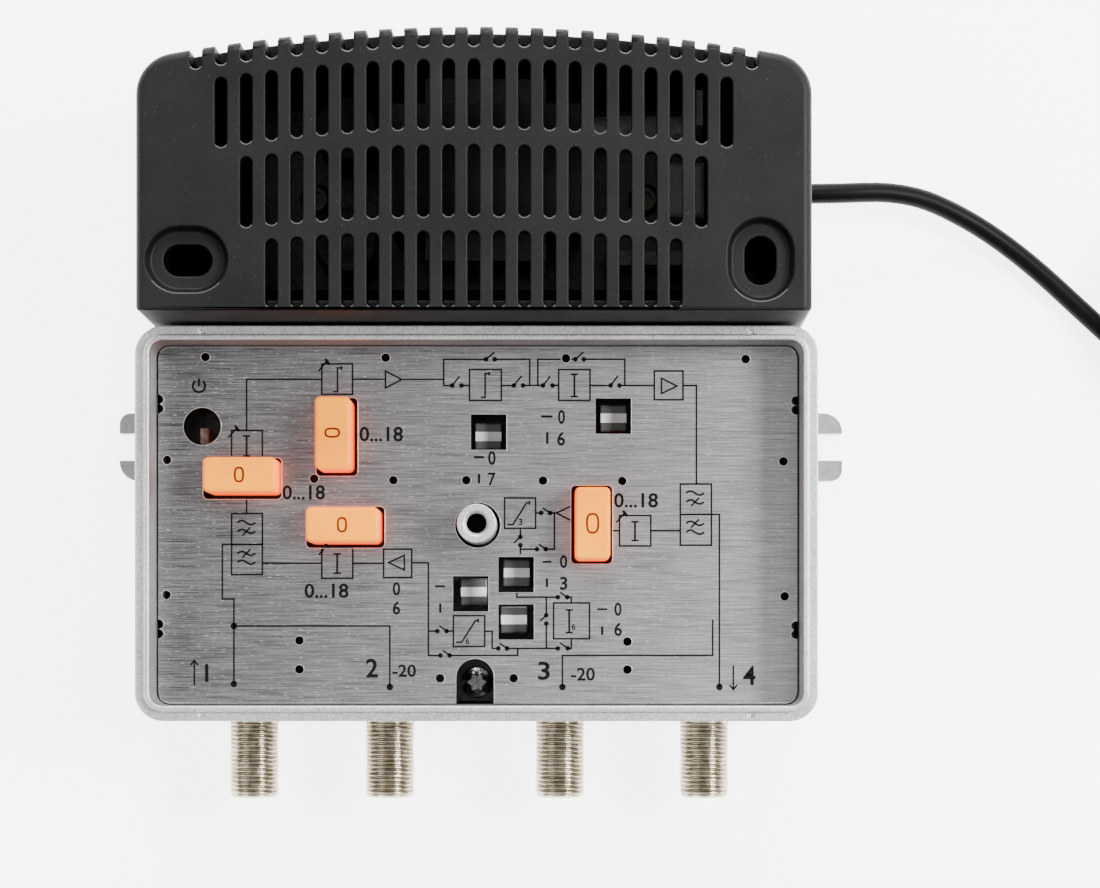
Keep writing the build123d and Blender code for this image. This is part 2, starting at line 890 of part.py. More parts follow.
def dish(side):
    """Shallow recess with sloping sides round a wall-screw well."""
    turned = side > 0
    top = stadium(side * well_x, well_y, well_dish_length, well_dish_width, turned)
    foot = stadium(
        side * well_x,
        well_y,
        well_dish_length - 2 * well_dish_slope,
        well_dish_width - 2 * well_dish_slope,
        turned,
    )
    bowl = loft([Pos(0, 0, power_z - well_dish_depth) * foot, Pos(0, 0, power_z) * top], ruled=True)
    return bowl + slab(top, power_z, power_z + overrun)


def well_tube(side):
    """Tube round a wall-screw slot, thickened under its recess."""
    tube = slab(well_outline(side, well_wall), power_floor + seat_gap, power_z - power_roof / 2)
    turned = side > 0
    cup = stadium(
        side * well_x, well_y, well_dish_length + well_wall, well_dish_width + well_wall, turned
    )
    cup_low = power_z - well_dish_depth - power_roof
    return tube + slab(cup, cup_low, power_z - power_roof / 2)


def inside_wall(z0, z1):
    """The space inside the housing's walls, to trim what must not reach into them."""
    return slab(power_outline(power_wall / 2, 0), z0, z1)


def power_cover():
    """Moulded cover: bowed back, drafted walls, grille, comb, screw wells and posts."""
    outer = power_block(0, power_split_z, power_z)
    roof_edges = outer.edges().group_by(Axis.Z)[-1].sort_by(Axis.Y)
    outer = fillet(roof_edges[3:], power_edge)
    roof_edges = outer.edges().group_by(Axis.Z)[-1].sort_by(Axis.Y)
    outer = chamfer(roof_edges[:1], power_front_edge)
    roof_z = power_z - power_roof
    cover = outer - power_block(power_wall, power_split_z, roof_z)
    inside = inside_wall(power_split_z - overrun, roof_z + power_roof / 2)
    deep_inside = inside_wall(0, power_split_z)
    for side in (-1, 1):
        cover += well_tube(side) & (inside + deep_inside)
    for x, y in house_post_places():
        low = power_floor + house_head_depth + seat_gap
        post = upright(x, y, low, roof_z + power_roof / 2, house_post_radius)
        cover += post & (inside + deep_inside)
    cuts = grille_cuts() + comb_cuts()
    for side in (-1, 1):
        cuts.append(dish(side))
        cuts.append(slab(well_outline(side, 0), 0, power_z + overrun))
    for x, y in house_post_places():
        low = power_floor + house_head_depth
        cuts.append(upright(x, y, low, low + house_screw_length, screw_radius + clear))
    cuts.append(cord_hole())
    return cover - cuts


def cord_hole():
    """Round way for the cord through the right wall, half in the cover and half in the base."""
    inner = power_half_width - power_wall - tongue_thick - tongue_gap - overrun
    return along_x(
        cord_y, cord_z, inner, power_half_width + overrun, cord_radius + cord_hole_gap
    )


def power_base():
    """Moulded base: floor, low walls, tongue that keys the cover, feet, cradle and screw cups."""
    base = slab(power_outline(0, 0), 0, power_split_z)
    base = chamfer(base.edges().group_by(Axis.Z)[0], base_edge)
    base -= slab(power_outline(power_wall, 0), power_floor, power_split_z + overrun)
    outer = power_outline(power_wall + tongue_gap, 0)
    inner = power_outline(power_wall + tongue_gap + tongue_thick, 0)
    base += slab(outer, power_floor - clear, power_split_z + tongue_rise) - slab(
        inner, power_floor - overrun, power_split_z + tongue_rise + overrun
    )
    for side in (-1, 1):
        base += upright(side * psu_screw_x, psu_screw_y, 0, psu_board_z, psu_foot_radius)
        foot_y = psu_board_front + psu_foot_radius
        base += upright(side * psu_screw_x / 2, foot_y, 0, psu_board_z, psu_foot_radius)
    for x, y in house_post_places():
        base += upright(x, y, 0, power_floor + house_head_depth, house_post_radius)
    base += box(
        clamp_x - clamp_length / 2,
        clamp_x + clamp_length / 2,
        cord_y - clamp_half_width,
        cord_y + clamp_half_width,
        0,
        cord_z - clamp_split,
    )
    return base - power_base_cuts()


def power_base_cuts():
    """Holes of the base: screws, wells, the lead, the cord and the cord's groove."""
    cuts = [cord_hole()]
    cuts.append(along_x(cord_y, cord_z, clamp_x - clamp_length, clamp_x + clamp_length, cord_radius + clear))
    for side in (-1, 1):
        cuts.append(slab(well_outline(side, 0), -overrun, power_floor + overrun))
        cuts.append(
            upright(
                side * psu_screw_x,
                psu_screw_y,
                psu_board_z - house_head_depth - overrun,
                psu_board_z + overrun,
                screw_radius + clear,
            )
        )
        cuts.append(
            upright(
                clamp_x,
                cord_y + side * clamp_screw_y,
                power_floor,
                cord_z + overrun,
                screw_radius + clear,
            )
        )
        inside = power_inside_front + tongue_gap + tongue_thick + overrun
        cuts.append(along_y(side * join_x, join_z, power_front - overrun, inside, screw_radius + clear))
        seat = power_inside_front
        cuts.append(
            along_y(side * join_x, join_z, seat, inside + overrun, join_head_radius + seat_gap)
        )
    for x, y in house_post_places():
        cuts.append(upright(x, y, -overrun, house_head_depth, screw_head_radius + clear))
        cuts.append(upright(x, y, 0, power_floor + house_head_depth + overrun, screw_radius + clear))
        shoulder = power_floor + house_head_depth
        top = power_split_z + tongue_rise + overrun
        cuts.append(upright(x, y, shoulder, top, house_post_radius + seat_gap))
    inside = power_inside_front + tongue_gap + tongue_thick
    cuts.append(along_y(lead_x, lead_z, power_front - overrun, inside + overrun, grommet_radius + clear))
    return cuts


def house_screws():
    """Four screws that hold the base to the cover from below."""
    made = []
    for x, y in house_post_places():
        screw = pan_screw(0, 0, 0, house_screw_length)
        made.append(Pos(x, y, house_head_depth) * Rot(180, 0, 0) * screw)
    return made


def joining_screws():
    """Two screws from the power base into the tray's back wall."""
    made = []
    length = power_inside_front - (tray_back - rim_wall - join_boss_depth) - 2 * overrun
    for x in (-join_x, join_x):
        screw = pan_screw(0, 0, 0, length, join_head_radius, join_head_height)
        made.append(Pos(x, power_inside_front, join_z) * Rot(-90, 0, 0) * screw)
    return made


def power_screws():
    """Like screws of the power housing: two hold its board and two hold the cord clamp."""
    made = [
        pan_screw(side * psu_screw_x, psu_screw_y, psu_board_top, house_head_depth + board_thick)
        for side in (-1, 1)
    ]
    seat = cord_z + clamp_split + clamp_bar_height
    for side in (-1, 1):
        made.append(pan_screw(clamp_x, cord_y + side * clamp_screw_y, seat, screw_length, join_head_radius))
    return made


def cord_clamp():
    """Bar with a half-round groove that holds the cord on its cradle."""
    low = cord_z + clamp_split
    bar = box(
        clamp_x - clamp_length / 2,
        clamp_x + clamp_length / 2,
        cord_y - clamp_half_width,
        cord_y + clamp_half_width,
        low,
        low + clamp_bar_height,
    )
    bar -= along_x(cord_y, cord_z, clamp_x - clamp_length, clamp_x + clamp_length, cord_radius + clear)
    for side in (-1, 1):
        y = cord_y + side * clamp_screw_y
        bar -= upright(clamp_x, y, low - overrun, low + clamp_bar_height + overrun, screw_radius + clear)
    return bar


def psu_board():
    """Power supply board on its feet."""
    board = box(
        -psu_board_half_width,
        psu_board_half_width,
        psu_board_front,
        psu_board_back,
        psu_board_z,
        psu_board_top,
    )
    low = psu_board_z - overrun
    high = psu_board_top + overrun
    for side in (-1, 1):
        board -= upright(side * psu_screw_x, psu_screw_y, low, high, screw_radius + clear)
    return board


def transformer():
    """Laminated core with two windows, a bobbin on its middle leg and the winding on the bobbin."""
    low = psu_board_top
    high = low + core_height
    half_stack = core_stack / 2
    core_left = core_x - core_width / 2
    core_right = core_x + core_width / 2
    core = box(core_left, core_right, core_y - half_stack, core_y + half_stack, low, high)
    for side in (-1, 1):
        near = min(side * core_leg / 2, side * (core_width / 2 - core_frame))
        far = max(side * core_leg / 2, side * (core_width / 2 - core_frame))
        core -= box(
            core_x + near,
            core_x + far,
            core_y - half_stack - overrun,
            core_y + half_stack + overrun,
            low + core_frame,
            high - core_frame,
        )
    window_low = low + core_frame + bobbin_gap
    window_high = high - core_frame - bobbin_gap
    leg_x = core_leg + 2 * bobbin_gap
    leg_y = core_stack + 2 * bobbin_gap
    tube_x = leg_x + 2 * bobbin_wall
    tube_y = leg_y + 2 * bobbin_wall
    coil_x_size = tube_x + 2 * winding_thick
    coil_y_size = tube_y + 2 * winding_thick
    middle = Pos(core_x, core_y)
    hole = middle * Rectangle(leg_x, leg_y)
    tube = slab(middle * Rectangle(tube_x, tube_y), window_low, window_high)
    flange = middle * Rectangle(coil_x_size, coil_y_size)
    tube += slab(flange, window_low, window_low + bobbin_flange)
    tube += slab(flange, window_high - bobbin_flange, window_high)
    bobbin = tube - slab(hole, low, high)
    winding = slab(
        middle * RectangleRounded(coil_x_size - clear, coil_y_size - clear, winding_corner),
        window_low + bobbin_flange,
        window_high - bobbin_flange,
    )
    winding -= slab(middle * Rectangle(tube_x, tube_y), low, high)
    return core, bobbin, winding


def power_parts():
    """Capacitors, rectifier, fuse, fuse clips and terminal block of the power board."""
    low = psu_board_top
    cans = []
    for side in (-1, 1):
        can = upright(cap_x, psu_board_y + side * cap_spread, low, low + cap_height, cap_radius)
        cans.append(chamfer(can.edges().group_by(Axis.Z)[-1], cap_edge))
    bridge = box(
        bridge_x - bridge_length / 2,
        bridge_x + bridge_length / 2,
        bridge_y - bridge_thick / 2,
        bridge_y + bridge_thick / 2,
        low,
        low + bridge_height,
    )
    bridge = chamfer(bridge.edges().group_by(Axis.Z)[-1], bridge_thick / 4)
    fuse_z = low + fuse_rise
    fuse = along_x(fuse_y, fuse_z, fuse_x - fuse_length / 2, fuse_x + fuse_length / 2, fuse_radius)
    clips = []
    for side in (-1, 1):
        x = fuse_x + side * (fuse_length / 2 - fuse_clip_wide / 2)
        inner = fuse_radius + clear
        half = inner + fuse_clip_thick
        x0 = x - fuse_clip_wide / 2
        x1 = x + fuse_clip_wide / 2
        clip = box(x0, x1, fuse_y - half, fuse_y + half, low, fuse_z + half / 2)
        clip -= box(
            x0 - overrun,
            x1 + overrun,
            fuse_y - inner,
            fuse_y + inner,
            low + fuse_clip_thick,
            fuse_z + half,
        )
        clips.append(clip)
    block = box(
        psu_board_half_width - block_length,
        psu_board_half_width,
        cord_y - block_depth / 2,
        cord_y + block_depth / 2,
        low,
        low + block_height,
    )
    block = chamfer(block.edges().group_by(Axis.Z)[-1], can_corner)
    return group(cans), bridge, fuse, group(clips), block


def wire_hook():
    """Pale moulded hook on the board that keeps the cord's wires down."""
    low = psu_board_top
    x = hook_x
    stem = box(
        x - hook_thick, x, hook_y - hook_arm, hook_y - hook_arm + hook_thick * 2, low, low + hook_height
    )
    high = low + hook_height
    arm = box(x - hook_thick, x, hook_y - hook_arm, hook_y + hook_arm, high - hook_thick, high)
    return stem + arm


def round_bar_along(points, radii, radius):
    """A round bar along straight runs joined by tangent arcs."""
    path = FilletPolyline(*points, radius=radii)
    start = path @ 0
    profile = Plane(origin=start, z_dir=path % 0) * Circle(radius)
    return sweep(profile, path=path), path


def lead():
    """Two-core lead from the power board, through both walls, up to the main board."""
    points = [
        (lead_x, lead_power_y, psu_board_z),
        (lead_x, lead_power_y, lead_z),
        (lead_x, lead_tray_y, lead_z),
        (lead_x, lead_tray_y, board_bottom),
    ]
    bar, _ = round_bar_along(points, [lead_bend, lead_bend], lead_radius)
    return bar


def grommet():
    """Rubber bush of the lead in the two walls, with a flange inside the tray."""
    wall_in = tray_back - rim_wall
    inside = power_inside_front + tongue_gap + tongue_thick
    bush = along_y(lead_x, lead_z, wall_in, inside, grommet_radius)
    bush += along_y(lead_x, lead_z, wall_in - grommet_flange, wall_in, grommet_flange_radius) & box(
        -tray_width, tray_width, -total_depth, total_depth, tray_floor, board_bottom
    )
    return bush - along_y(lead_x, lead_z, wall_in - tray_depth, inside + overrun, lead_radius + clear)


def coil_radius(turn):
    """Radius of the coil's centreline after a number of turns, in and out by layers."""
    layer = min(int(turn / coil_turns_per_layer), coil_layers - 1)
    along = (turn - layer * coil_turns_per_layer) / coil_turns_per_layer
    if layer % 2 == 0:
        return coil_outer + (coil_inner - coil_outer) * along
    return coil_inner + (coil_outer - coil_inner) * along


def coil_rise(turn):
    """Height of the centreline: level layers, with each climb in the half turn of a reversal."""
    height = coil_floor_z
    for layer in range(1, coil_layers):
        start = layer * coil_turns_per_layer - 1 / 4
        along = min(max((turn - start) * 2, 0), 1)
        height += coil_layer_rise * (1 - math.cos(math.pi * along)) / 2
    return height


def coil_point(turn):
    """Point of the coil's centreline."""
    angle = math.radians(coil_entry_angle) + turn * 2 * math.pi
    radius = coil_radius(turn)
    return Vector(
        coil_x + radius * math.cos(angle), coil_y + radius * math.sin(angle), coil_rise(turn)
    )


def coil_direction(turn):
    """Direction of the centreline, level and square to the radius at a reversal and at both ends."""
    step = 1 / 1000
    total = coil_layers * coil_turns_per_layer
    radius = coil_radius(turn)
    angle = math.radians(coil_entry_angle) + turn * 2 * math.pi
    at_turn = abs(turn / coil_turns_per_layer - round(turn / coil_turns_per_layer)) < step
    slope = 0
    if not at_turn and 0 < turn < total:
        slope = (coil_radius(turn + step) - coil_radius(turn - step)) / (4 * math.pi * step)
    climb = (coil_rise(min(turn + step, total)) - coil_rise(max(turn - step, 0))) / (4 * math.pi * step)
    return Vector(
        -radius * math.sin(angle) + slope * math.cos(angle),
        radius * math.cos(angle) + slope * math.sin(angle),
        climb,
    ).normalized()


def biarc(start, start_way, end, end_way):
    """Two tangent arcs that join two points with given directions."""
    span = end - start
    both = start_way + end_way
    spread = 2 * (1 - start_way.dot(end_way))
    along = span.dot(both)
    reach = (math.sqrt(along**2 + spread * span.dot(span)) - along) / spread
    middle = (start + end + (start_way - end_way) * reach) * (1 / 2)
    middle_way = (end - end_way * reach) - (start + start_way * reach)
    return [
        TangentArc(start, middle, tangent=start_way),
        TangentArc(middle, end, tangent=middle_way.normalized()),
    ]


def coil():
    """The stored length of the cord: one unbroken coil of four layers."""
    quarters = int(coil_layers * coil_turns_per_layer * 4)
    edges = []
    for quarter in range(quarters):
        turn = quarter / 4
        after = (quarter + 1) / 4
        edges += biarc(coil_point(turn), coil_direction(turn), coil_point(after), coil_direction(after))
    path = Wire(edges)
    profile = Plane(origin=coil_point(0), z_dir=coil_direction(0)) * Circle(cord_radius)
    return sweep(profile, path=path), path


def coil_gap():
    """Least gap of the coil to itself, measured on points more than a half turn apart."""
    total = coil_layers * coil_turns_per_layer
    steps = int(total * 72)
    points = [coil_point(index / 72) for index in range(steps + 1)]
    least = coil_outer
    for first, here in enumerate(points):
        for there in points[first + 36 :]:
            least = min(least, (there - here).length)
    return least - 2 * cord_radius


cord_route = [
    (psu_board_half_width, cord_y, cord_z),
    (64.0, cord_y, cord_z),
    (80.5, 45.6, 9.4),
    (93.0, 41.0, 4.4),
    (104.5, 33.4, 2.2),
    (116.5, 22.3, 2.0),
]
tail_route = [(12.0, 0, 0), (13.0, 7.0, -4.0), (12.0, 9.0, -3.5)]


def corner_radii(points):
    """Radius of each arc of a route: as large as its two runs allow."""
    radii = []
    for before, corner, after in zip(points, points[1:], points[2:]):
        first = Vector(corner) - Vector(before)
        second = Vector(after) - Vector(corner)
        turn = math.radians(first.get_angle(second))
        radii.append(cord_arc_share * min(first.length, second.length) / math.tan(turn / 2))
    return radii


def free_cord():
    """The visible stretch: out of the wall, down to the surface and away to the coil."""
    entry = coil_point(0)
    way = coil_direction(0)
    lead_in = entry - way * (3 * 2 * cord_radius)
    points = cord_route + [tuple(lead_in), tuple(entry)]
    radii = corner_radii(points)
    print("cord arc radii", [round(radius, 1) for radius in radii])
    bar, path = round_bar_along(points, radii, cord_radius)
    print("cord length", round(path.length, 1))
    return bar


def plug_place():
    """Where the tail of the cord meets the plug, and the way the plug points, level."""
    total = coil_layers * coil_turns_per_layer
    here = coil_point(total)
    way = coil_direction(total)
    side = Vector(way.Y, -way.X, 0)
    return here, way, side


def tail():
    """Short stretch from the coil's last turn down to the plug beside the coil."""
    here, way, side = plug_place()
    points = [tuple(here)]
    spot = here
    for forward, right, rise in tail_route:
        spot = spot + way * forward + side * right + Vector(0, 0, rise)
        points.append(tuple(spot))
    last = Vector(points[-1]) - Vector(points[-2])
    level = Vector(last.X, last.Y, 0).normalized()
    end = Vector(points[-1][0], points[-1][1], plug_thick / 2)
    points[-1] = tuple(end)
    points.append(tuple(end + level * (3 * 2 * cord_radius)))
    radii = corner_radii(points)
    print("tail arc radii", [round(radius, 1) for radius in radii])
    bar, path = round_bar_along(points, radii, cord_radius)
    print("tail length", round(path.length, 1))
    return bar, Vector(points[-1]), level


def plug(rear, way):
    """Flat two-pin plug: tapered body, pins and their sleeves."""
    place = Plane(origin=rear, x_dir=way, z_dir=(0, 0, 1))
    half_wide = plug_width / 2
    half_neck = plug_neck / 2
    outline = Polyline(
        (0, -half_neck),
        (plug_neck_length, -half_neck),
        (plug_length / 2, -half_wide),
        (plug_length, -half_wide),
        (plug_length, half_wide),
        (plug_length / 2, half_wide),
        (plug_neck_length, half_neck),
        (0, half_neck),
        close=True,
    )
    body = extrude(make_face(outline), plug_thick / 2, both=True)
    body = fillet(body.edges().filter_by(Axis.Z), plug_edge)
    body = chamfer(body.edges().group_by(Axis.Z)[-1] + body.edges().group_by(Axis.Z)[0], plug_edge / 2)
    pins = []
    sleeves = []
    for side in (-1, 1):
        y = side * plug_pin_spread / 2
        start = plug_length - plug_pin_seat
        body -= along_x(y, 0, start, plug_length + overrun, plug_root_radius + clear)
        tip = plug_length + plug_pin_length
        pin = along_x(y, 0, plug_length, tip, plug_pin_radius)
        pin = fillet(pin.edges().group_by(Axis.X)[-1], plug_tip_round)
        sleeve_end = plug_length + plug_sleeve_length
        ring = along_x(y, 0, plug_length, sleeve_end, plug_pin_radius + overrun)
        waist = plug_sleeve_radius - plug_sleeve_wall
        ring -= along_x(y, 0, plug_length - overrun, sleeve_end + overrun, waist)
        pin -= ring
        pin += along_x(y, 0, start, plug_length, plug_root_radius)
        pins.append(pin)
        sleeve = along_x(y, 0, plug_length + clear, sleeve_end - clear, plug_sleeve_radius)
        bore = plug_sleeve_radius - plug_sleeve_wall + clear
        sleeve -= along_x(y, 0, plug_length - overrun, sleeve_end + overrun, bore)
        sleeves.append(sleeve)
    move = place.location
    return move * body, group([move * pin for pin in pins]), group([move * sleeve for sleeve in sleeves])


def tie():
    """Strap round the stack of turns on one side of the coil."""
    half_stack = cord_radius + tie_gap
    inner = coil_inner - half_stack
    outer = coil_outer + half_stack
    high = coil_rise(coil_layers * coil_turns_per_layer) + half_stack
    hole = box(inner, outer, -tie_width, tie_width, tie_thick, high)
    strap = box(inner - tie_thick, outer + tie_thick, -tie_width / 2, tie_width / 2, 0, high + tie_thick)
    strap = fillet(strap.edges().filter_by(Axis.Y), tie_thick)
    strap -= hole
    return Pos(coil_x, coil_y) * Rot(0, 0, tie_angle) * strap


def build():
    """Make every piece and write it under its own name."""
    os.makedirs("parts", exist_ok=True)
    save("tray", tray())
    save("face_plate", face_plate())
    save("main_board", main_board())
    save("screening_frame", screening_frame())
    save("board_screws", group([pan_screw(x, y, board_top, screw_length) for x, y in board_screw_places()]))
    headers = [header(index) for index in range(len(jumper_window_shares))]
    save("jumper_headers", group([base for base, _ in headers]))
    save("header_pins", group([pin for _, pins in headers for pin in pins]))
    for index in range(len(jumper_window_shares)):
        cap, clips = jumper(index)
        save(f"jumper_{index + 1}_cap", cap)
        save(f"jumper_{index + 1}_clips", clips)
    save("pad_sockets", group([pad_socket(index) for index in range(len(pad_shares))]))
    for index in range(len(pad_shares)):
        case, pins = pad(index)
        save(f"pad_{index + 1}_case", case)
        save(f"pad_{index + 1}_pins", pins)
    save("filter_cans", group([filter_can(shares) for shares in can_shares]))
    save("amplifier_modules", group([amp_module(shares) for shares in module_shares]))
    save("board_capacitors", group([board_capacitor(shares) for shares in board_can_shares]))
    save("chip_parts", group(chips()))
    save("power_led", power_led())
    connectors = [connector(x) for x in connector_places()]
    save("connector_barrels", group([barrel for barrel, _, _ in connectors]))
    save("connector_insulators", group([insulator for _, insulator, _ in connectors]))
    save("connector_contacts", group([contact for _, _, contact in connectors]))
    save("power_cover", power_cover())
    save("power_base", power_base())
    save("housing_screws", group(house_screws()))
    save("joining_screws", group(joining_screws()))
    save("power_screws", group(power_screws()))
    save("power_board", psu_board())
    core, bobbin, winding = transformer()
    save("transformer_core", core)
    save("transformer_bobbin", bobbin)
    save("transformer_winding", winding)
    cans, bridge, fuse, clips, block = power_parts()
    save("power_capacitors", cans)
    save("rectifier", bridge)
    save("fuse", fuse)
    save("fuse_clips", clips)
    save("terminal_block", block)
    save("wire_hook", wire_hook())
    save("supply_lead", lead())
    save("lead_grommet", grommet())
    save("cord_clamp", cord_clamp())
    save("mains_cord", free_cord())
    coil_bar, path = coil()
    print("coil length", round(path.length, 1), "least gap", round(coil_gap(), 2))
    save("cord_coil", coil_bar)
    tail_bar, rear, way = tail()
    save("plug_tail", tail_bar)
    body, pins, sleeves = plug(rear, way)
    save("plug_body", body)
    save("plug_pins", pins)
    save("pin_sleeves", sleeves)
    save("cord_tie", tie())


build()
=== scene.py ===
# %% [markdown]
# # A signal amplifier with its lid off, seen from straight above
# The object splits aerial and cable television signals inside a house. A die-cast tray holds the circuit under a
# brushed plate that carries its block diagram, and a black moulded housing behind it holds the power supply.
# The solids come from CAD and are never moved here. This script gives each one its finish, and adds what is too
# fine for CAD: print, screw threads, burrs on cut edges and a cord that lies as a real one does.
# Every length is in metres, so a size is written as a number of millimetres times MM.

# %% Load the frame
import json
import math

import bmesh
import bpy
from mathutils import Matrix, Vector

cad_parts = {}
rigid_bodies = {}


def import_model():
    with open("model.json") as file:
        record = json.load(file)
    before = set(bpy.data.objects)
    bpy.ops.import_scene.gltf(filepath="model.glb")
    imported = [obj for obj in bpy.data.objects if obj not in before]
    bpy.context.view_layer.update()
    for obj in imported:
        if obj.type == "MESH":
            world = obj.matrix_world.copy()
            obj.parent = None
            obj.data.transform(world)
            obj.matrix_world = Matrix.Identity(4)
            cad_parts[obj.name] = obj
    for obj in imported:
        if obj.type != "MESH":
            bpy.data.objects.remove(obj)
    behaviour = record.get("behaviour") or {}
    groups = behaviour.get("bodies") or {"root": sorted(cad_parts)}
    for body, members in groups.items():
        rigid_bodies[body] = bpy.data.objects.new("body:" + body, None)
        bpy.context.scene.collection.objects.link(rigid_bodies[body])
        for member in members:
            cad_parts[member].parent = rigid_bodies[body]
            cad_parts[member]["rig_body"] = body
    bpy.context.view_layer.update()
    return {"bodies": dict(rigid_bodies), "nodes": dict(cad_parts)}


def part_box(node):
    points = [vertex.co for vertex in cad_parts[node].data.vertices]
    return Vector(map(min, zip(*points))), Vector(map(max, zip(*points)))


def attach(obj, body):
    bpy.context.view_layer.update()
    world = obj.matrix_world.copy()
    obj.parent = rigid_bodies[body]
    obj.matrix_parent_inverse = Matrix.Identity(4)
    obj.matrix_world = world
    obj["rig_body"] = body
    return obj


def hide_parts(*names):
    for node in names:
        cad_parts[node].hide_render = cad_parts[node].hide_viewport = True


MM = 0.001

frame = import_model()
nodes = frame["nodes"]


def holder(name, data):
    """An object for a mesh, curve, text, light or camera, linked to the scene."""
    shape = bpy.data.objects.new(name, data)
    bpy.context.scene.collection.objects.link(shape)
    return shape


# %% [markdown]
# ## Camera
# The photograph looks square down on the object, from about 0.6 m. The picture's middle is not over the object,
# so the camera keeps its level sensor and shifts its frame, as a view camera does. That keeps upright walls
# spreading away from the point straight below the lens, where the photograph has them.

# %% Camera
picture_width = 1100
picture_height = 888
focal_pixels = 3120
axis_pixel = (560, 640)
sensor_width = 36.0
camera_place = Vector((15.1, -39.45, 600.0)) * MM

camera_data = bpy.data.cameras.new("camera")
camera_data.sensor_width = sensor_width
camera_data.lens = focal_pixels / picture_width * sensor_width
camera_data.shift_x = (picture_width / 2 - axis_pixel[0]) / picture_width
camera_data.shift_y = (axis_pixel[1] - picture_height / 2) / picture_width
camera_data.clip_start = 10 * MM
camera = holder("camera", camera_data)
camera.location = camera_place
bpy.context.scene.camera = camera
print("lens", round(camera_data.lens, 2), "shift", round(camera_data.shift_x, 4), round(camera_data.shift_y, 4))

# %% From pixels to the plate
plate_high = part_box("face_plate")[1]
plate_top = plate_high.z


def on_plate(pixel_x, pixel_y):
    """Where a pixel of the photograph lies on the top of the face plate."""
    spread = (camera_place.z - plate_top) / focal_pixels
    right = pixel_x - axis_pixel[0]
    up = axis_pixel[1] - pixel_y
    return Vector((camera_place.x + right * spread, camera_place.y + up * spread, 0.0))


print("plate top", round(plate_top / MM, 2), "mm")

# %% [markdown]
# ## Sums and nodes
# Shader trees grow long when each Math node is set by hand. A small class lets a number in a tree take part in
# ordinary arithmetic, so that `0.3 + grain * 0.2` adds its own nodes. Everything else, in shader trees and in
# geometry trees alike, comes from one method that takes a node's type, its settings and its sockets.

# %% Arithmetic on sockets


class Sum:
    """A number in a node tree that can be added, multiplied and compared like any other."""

    def __init__(self, tree, socket):
        self.tree = tree
        self.socket = socket

    def _math(self, kind, other=None, turned=False, clamped=False):
        node = self.tree.nodes.new("ShaderNodeMath")
        node.operation = kind
        node.use_clamp = clamped
        pair = (other, self) if turned else (self, other)
        for slot, value in zip(node.inputs, pair):
            if isinstance(value, Sum):
                self.tree.links.new(value.socket, slot)
            elif value is not None:
                slot.default_value = value
        return Sum(self.tree, node.outputs[0])

    def __add__(self, other):
        return self._math("ADD", other)

    __radd__ = __add__

    def __sub__(self, other):
        return self._math("SUBTRACT", other)

    def __rsub__(self, other):
        return self._math("SUBTRACT", other, turned=True)

    def __mul__(self, other):
        return self._math("MULTIPLY", other)

    __rmul__ = __mul__

    def __truediv__(self, other):
        return self._math("DIVIDE", other)

    def __rtruediv__(self, other):
        return self._math("DIVIDE", other, turned=True)

    def __gt__(self, other):
        return self._math("GREATER_THAN", other)

    def __lt__(self, other):
        return self._math("LESS_THAN", other)

    def away(self):
        """How far from 0."""
        return self._math("ABSOLUTE")

    def kept(self):
        """Held between 0 and 1."""
        return self._math("MULTIPLY", 1.0, clamped=True)

    def between(self, low, high):
        """0 at the low value, 1 at the high one, and held there."""
        return ((self - low) / (high - low)).kept()

    def spread(self):
        """Noise keeps near its middle, so its values from 0.3 to 0.7 are spread over 0 to 1."""
        return self.between(0.3, 0.7)


class Sheet:
    """A node tree that nodes are put on."""

    def __init__(self, tree):
        self.tree = tree

    def feed(self, slot, value):
        """Gives a socket a value or a link."""
        if isinstance(value, Sum):
            value = value.socket
        if isinstance(value, bpy.types.NodeSocket):
            self.tree.links.new(value, slot)
        else:
            slot.default_value = value

    def put(self, kind, settings=None, sockets=None):
        """A node of that type, with its settings made first and then its sockets' values or links."""
        node = self.tree.nodes.new(kind)
        for key, value in (settings or {}).items():
            setattr(node, key, value)
        for key, value in (sockets or {}).items():
            self.feed(node.inputs[key], value)
        return node

    def parts(self, vector):
        """The x, y and z of a vector."""
        node = self.put("ShaderNodeSeparateXYZ", None, {0: vector})
        return [Sum(self.tree, socket) for socket in node.outputs]

    def mix(self, share, first, second):
        """One colour turning into another, each a colour or a link."""
        ends = [value if isinstance(value, bpy.types.NodeSocket) else (*value, 1.0) for value in (first, second)]
        node = self.put("ShaderNodeMix", {"data_type": "RGBA"}, {0: share, 6: ends[0], 7: ends[1]})
        return node.outputs[2]


def grey(tone):
    """A neutral colour."""
    return (tone, tone, tone)


print("sums and node sheets ready")

# %% [markdown]
# ## Finishes
# Each finish is a physically based surface whose colour, gloss and relief change with noise. The noise reads
# Object coordinates, so a grain of 0.3 mm on the casting is 0.3 mm everywhere, on any piece, from any side.

# %% A finish and its grains
finishes = {}


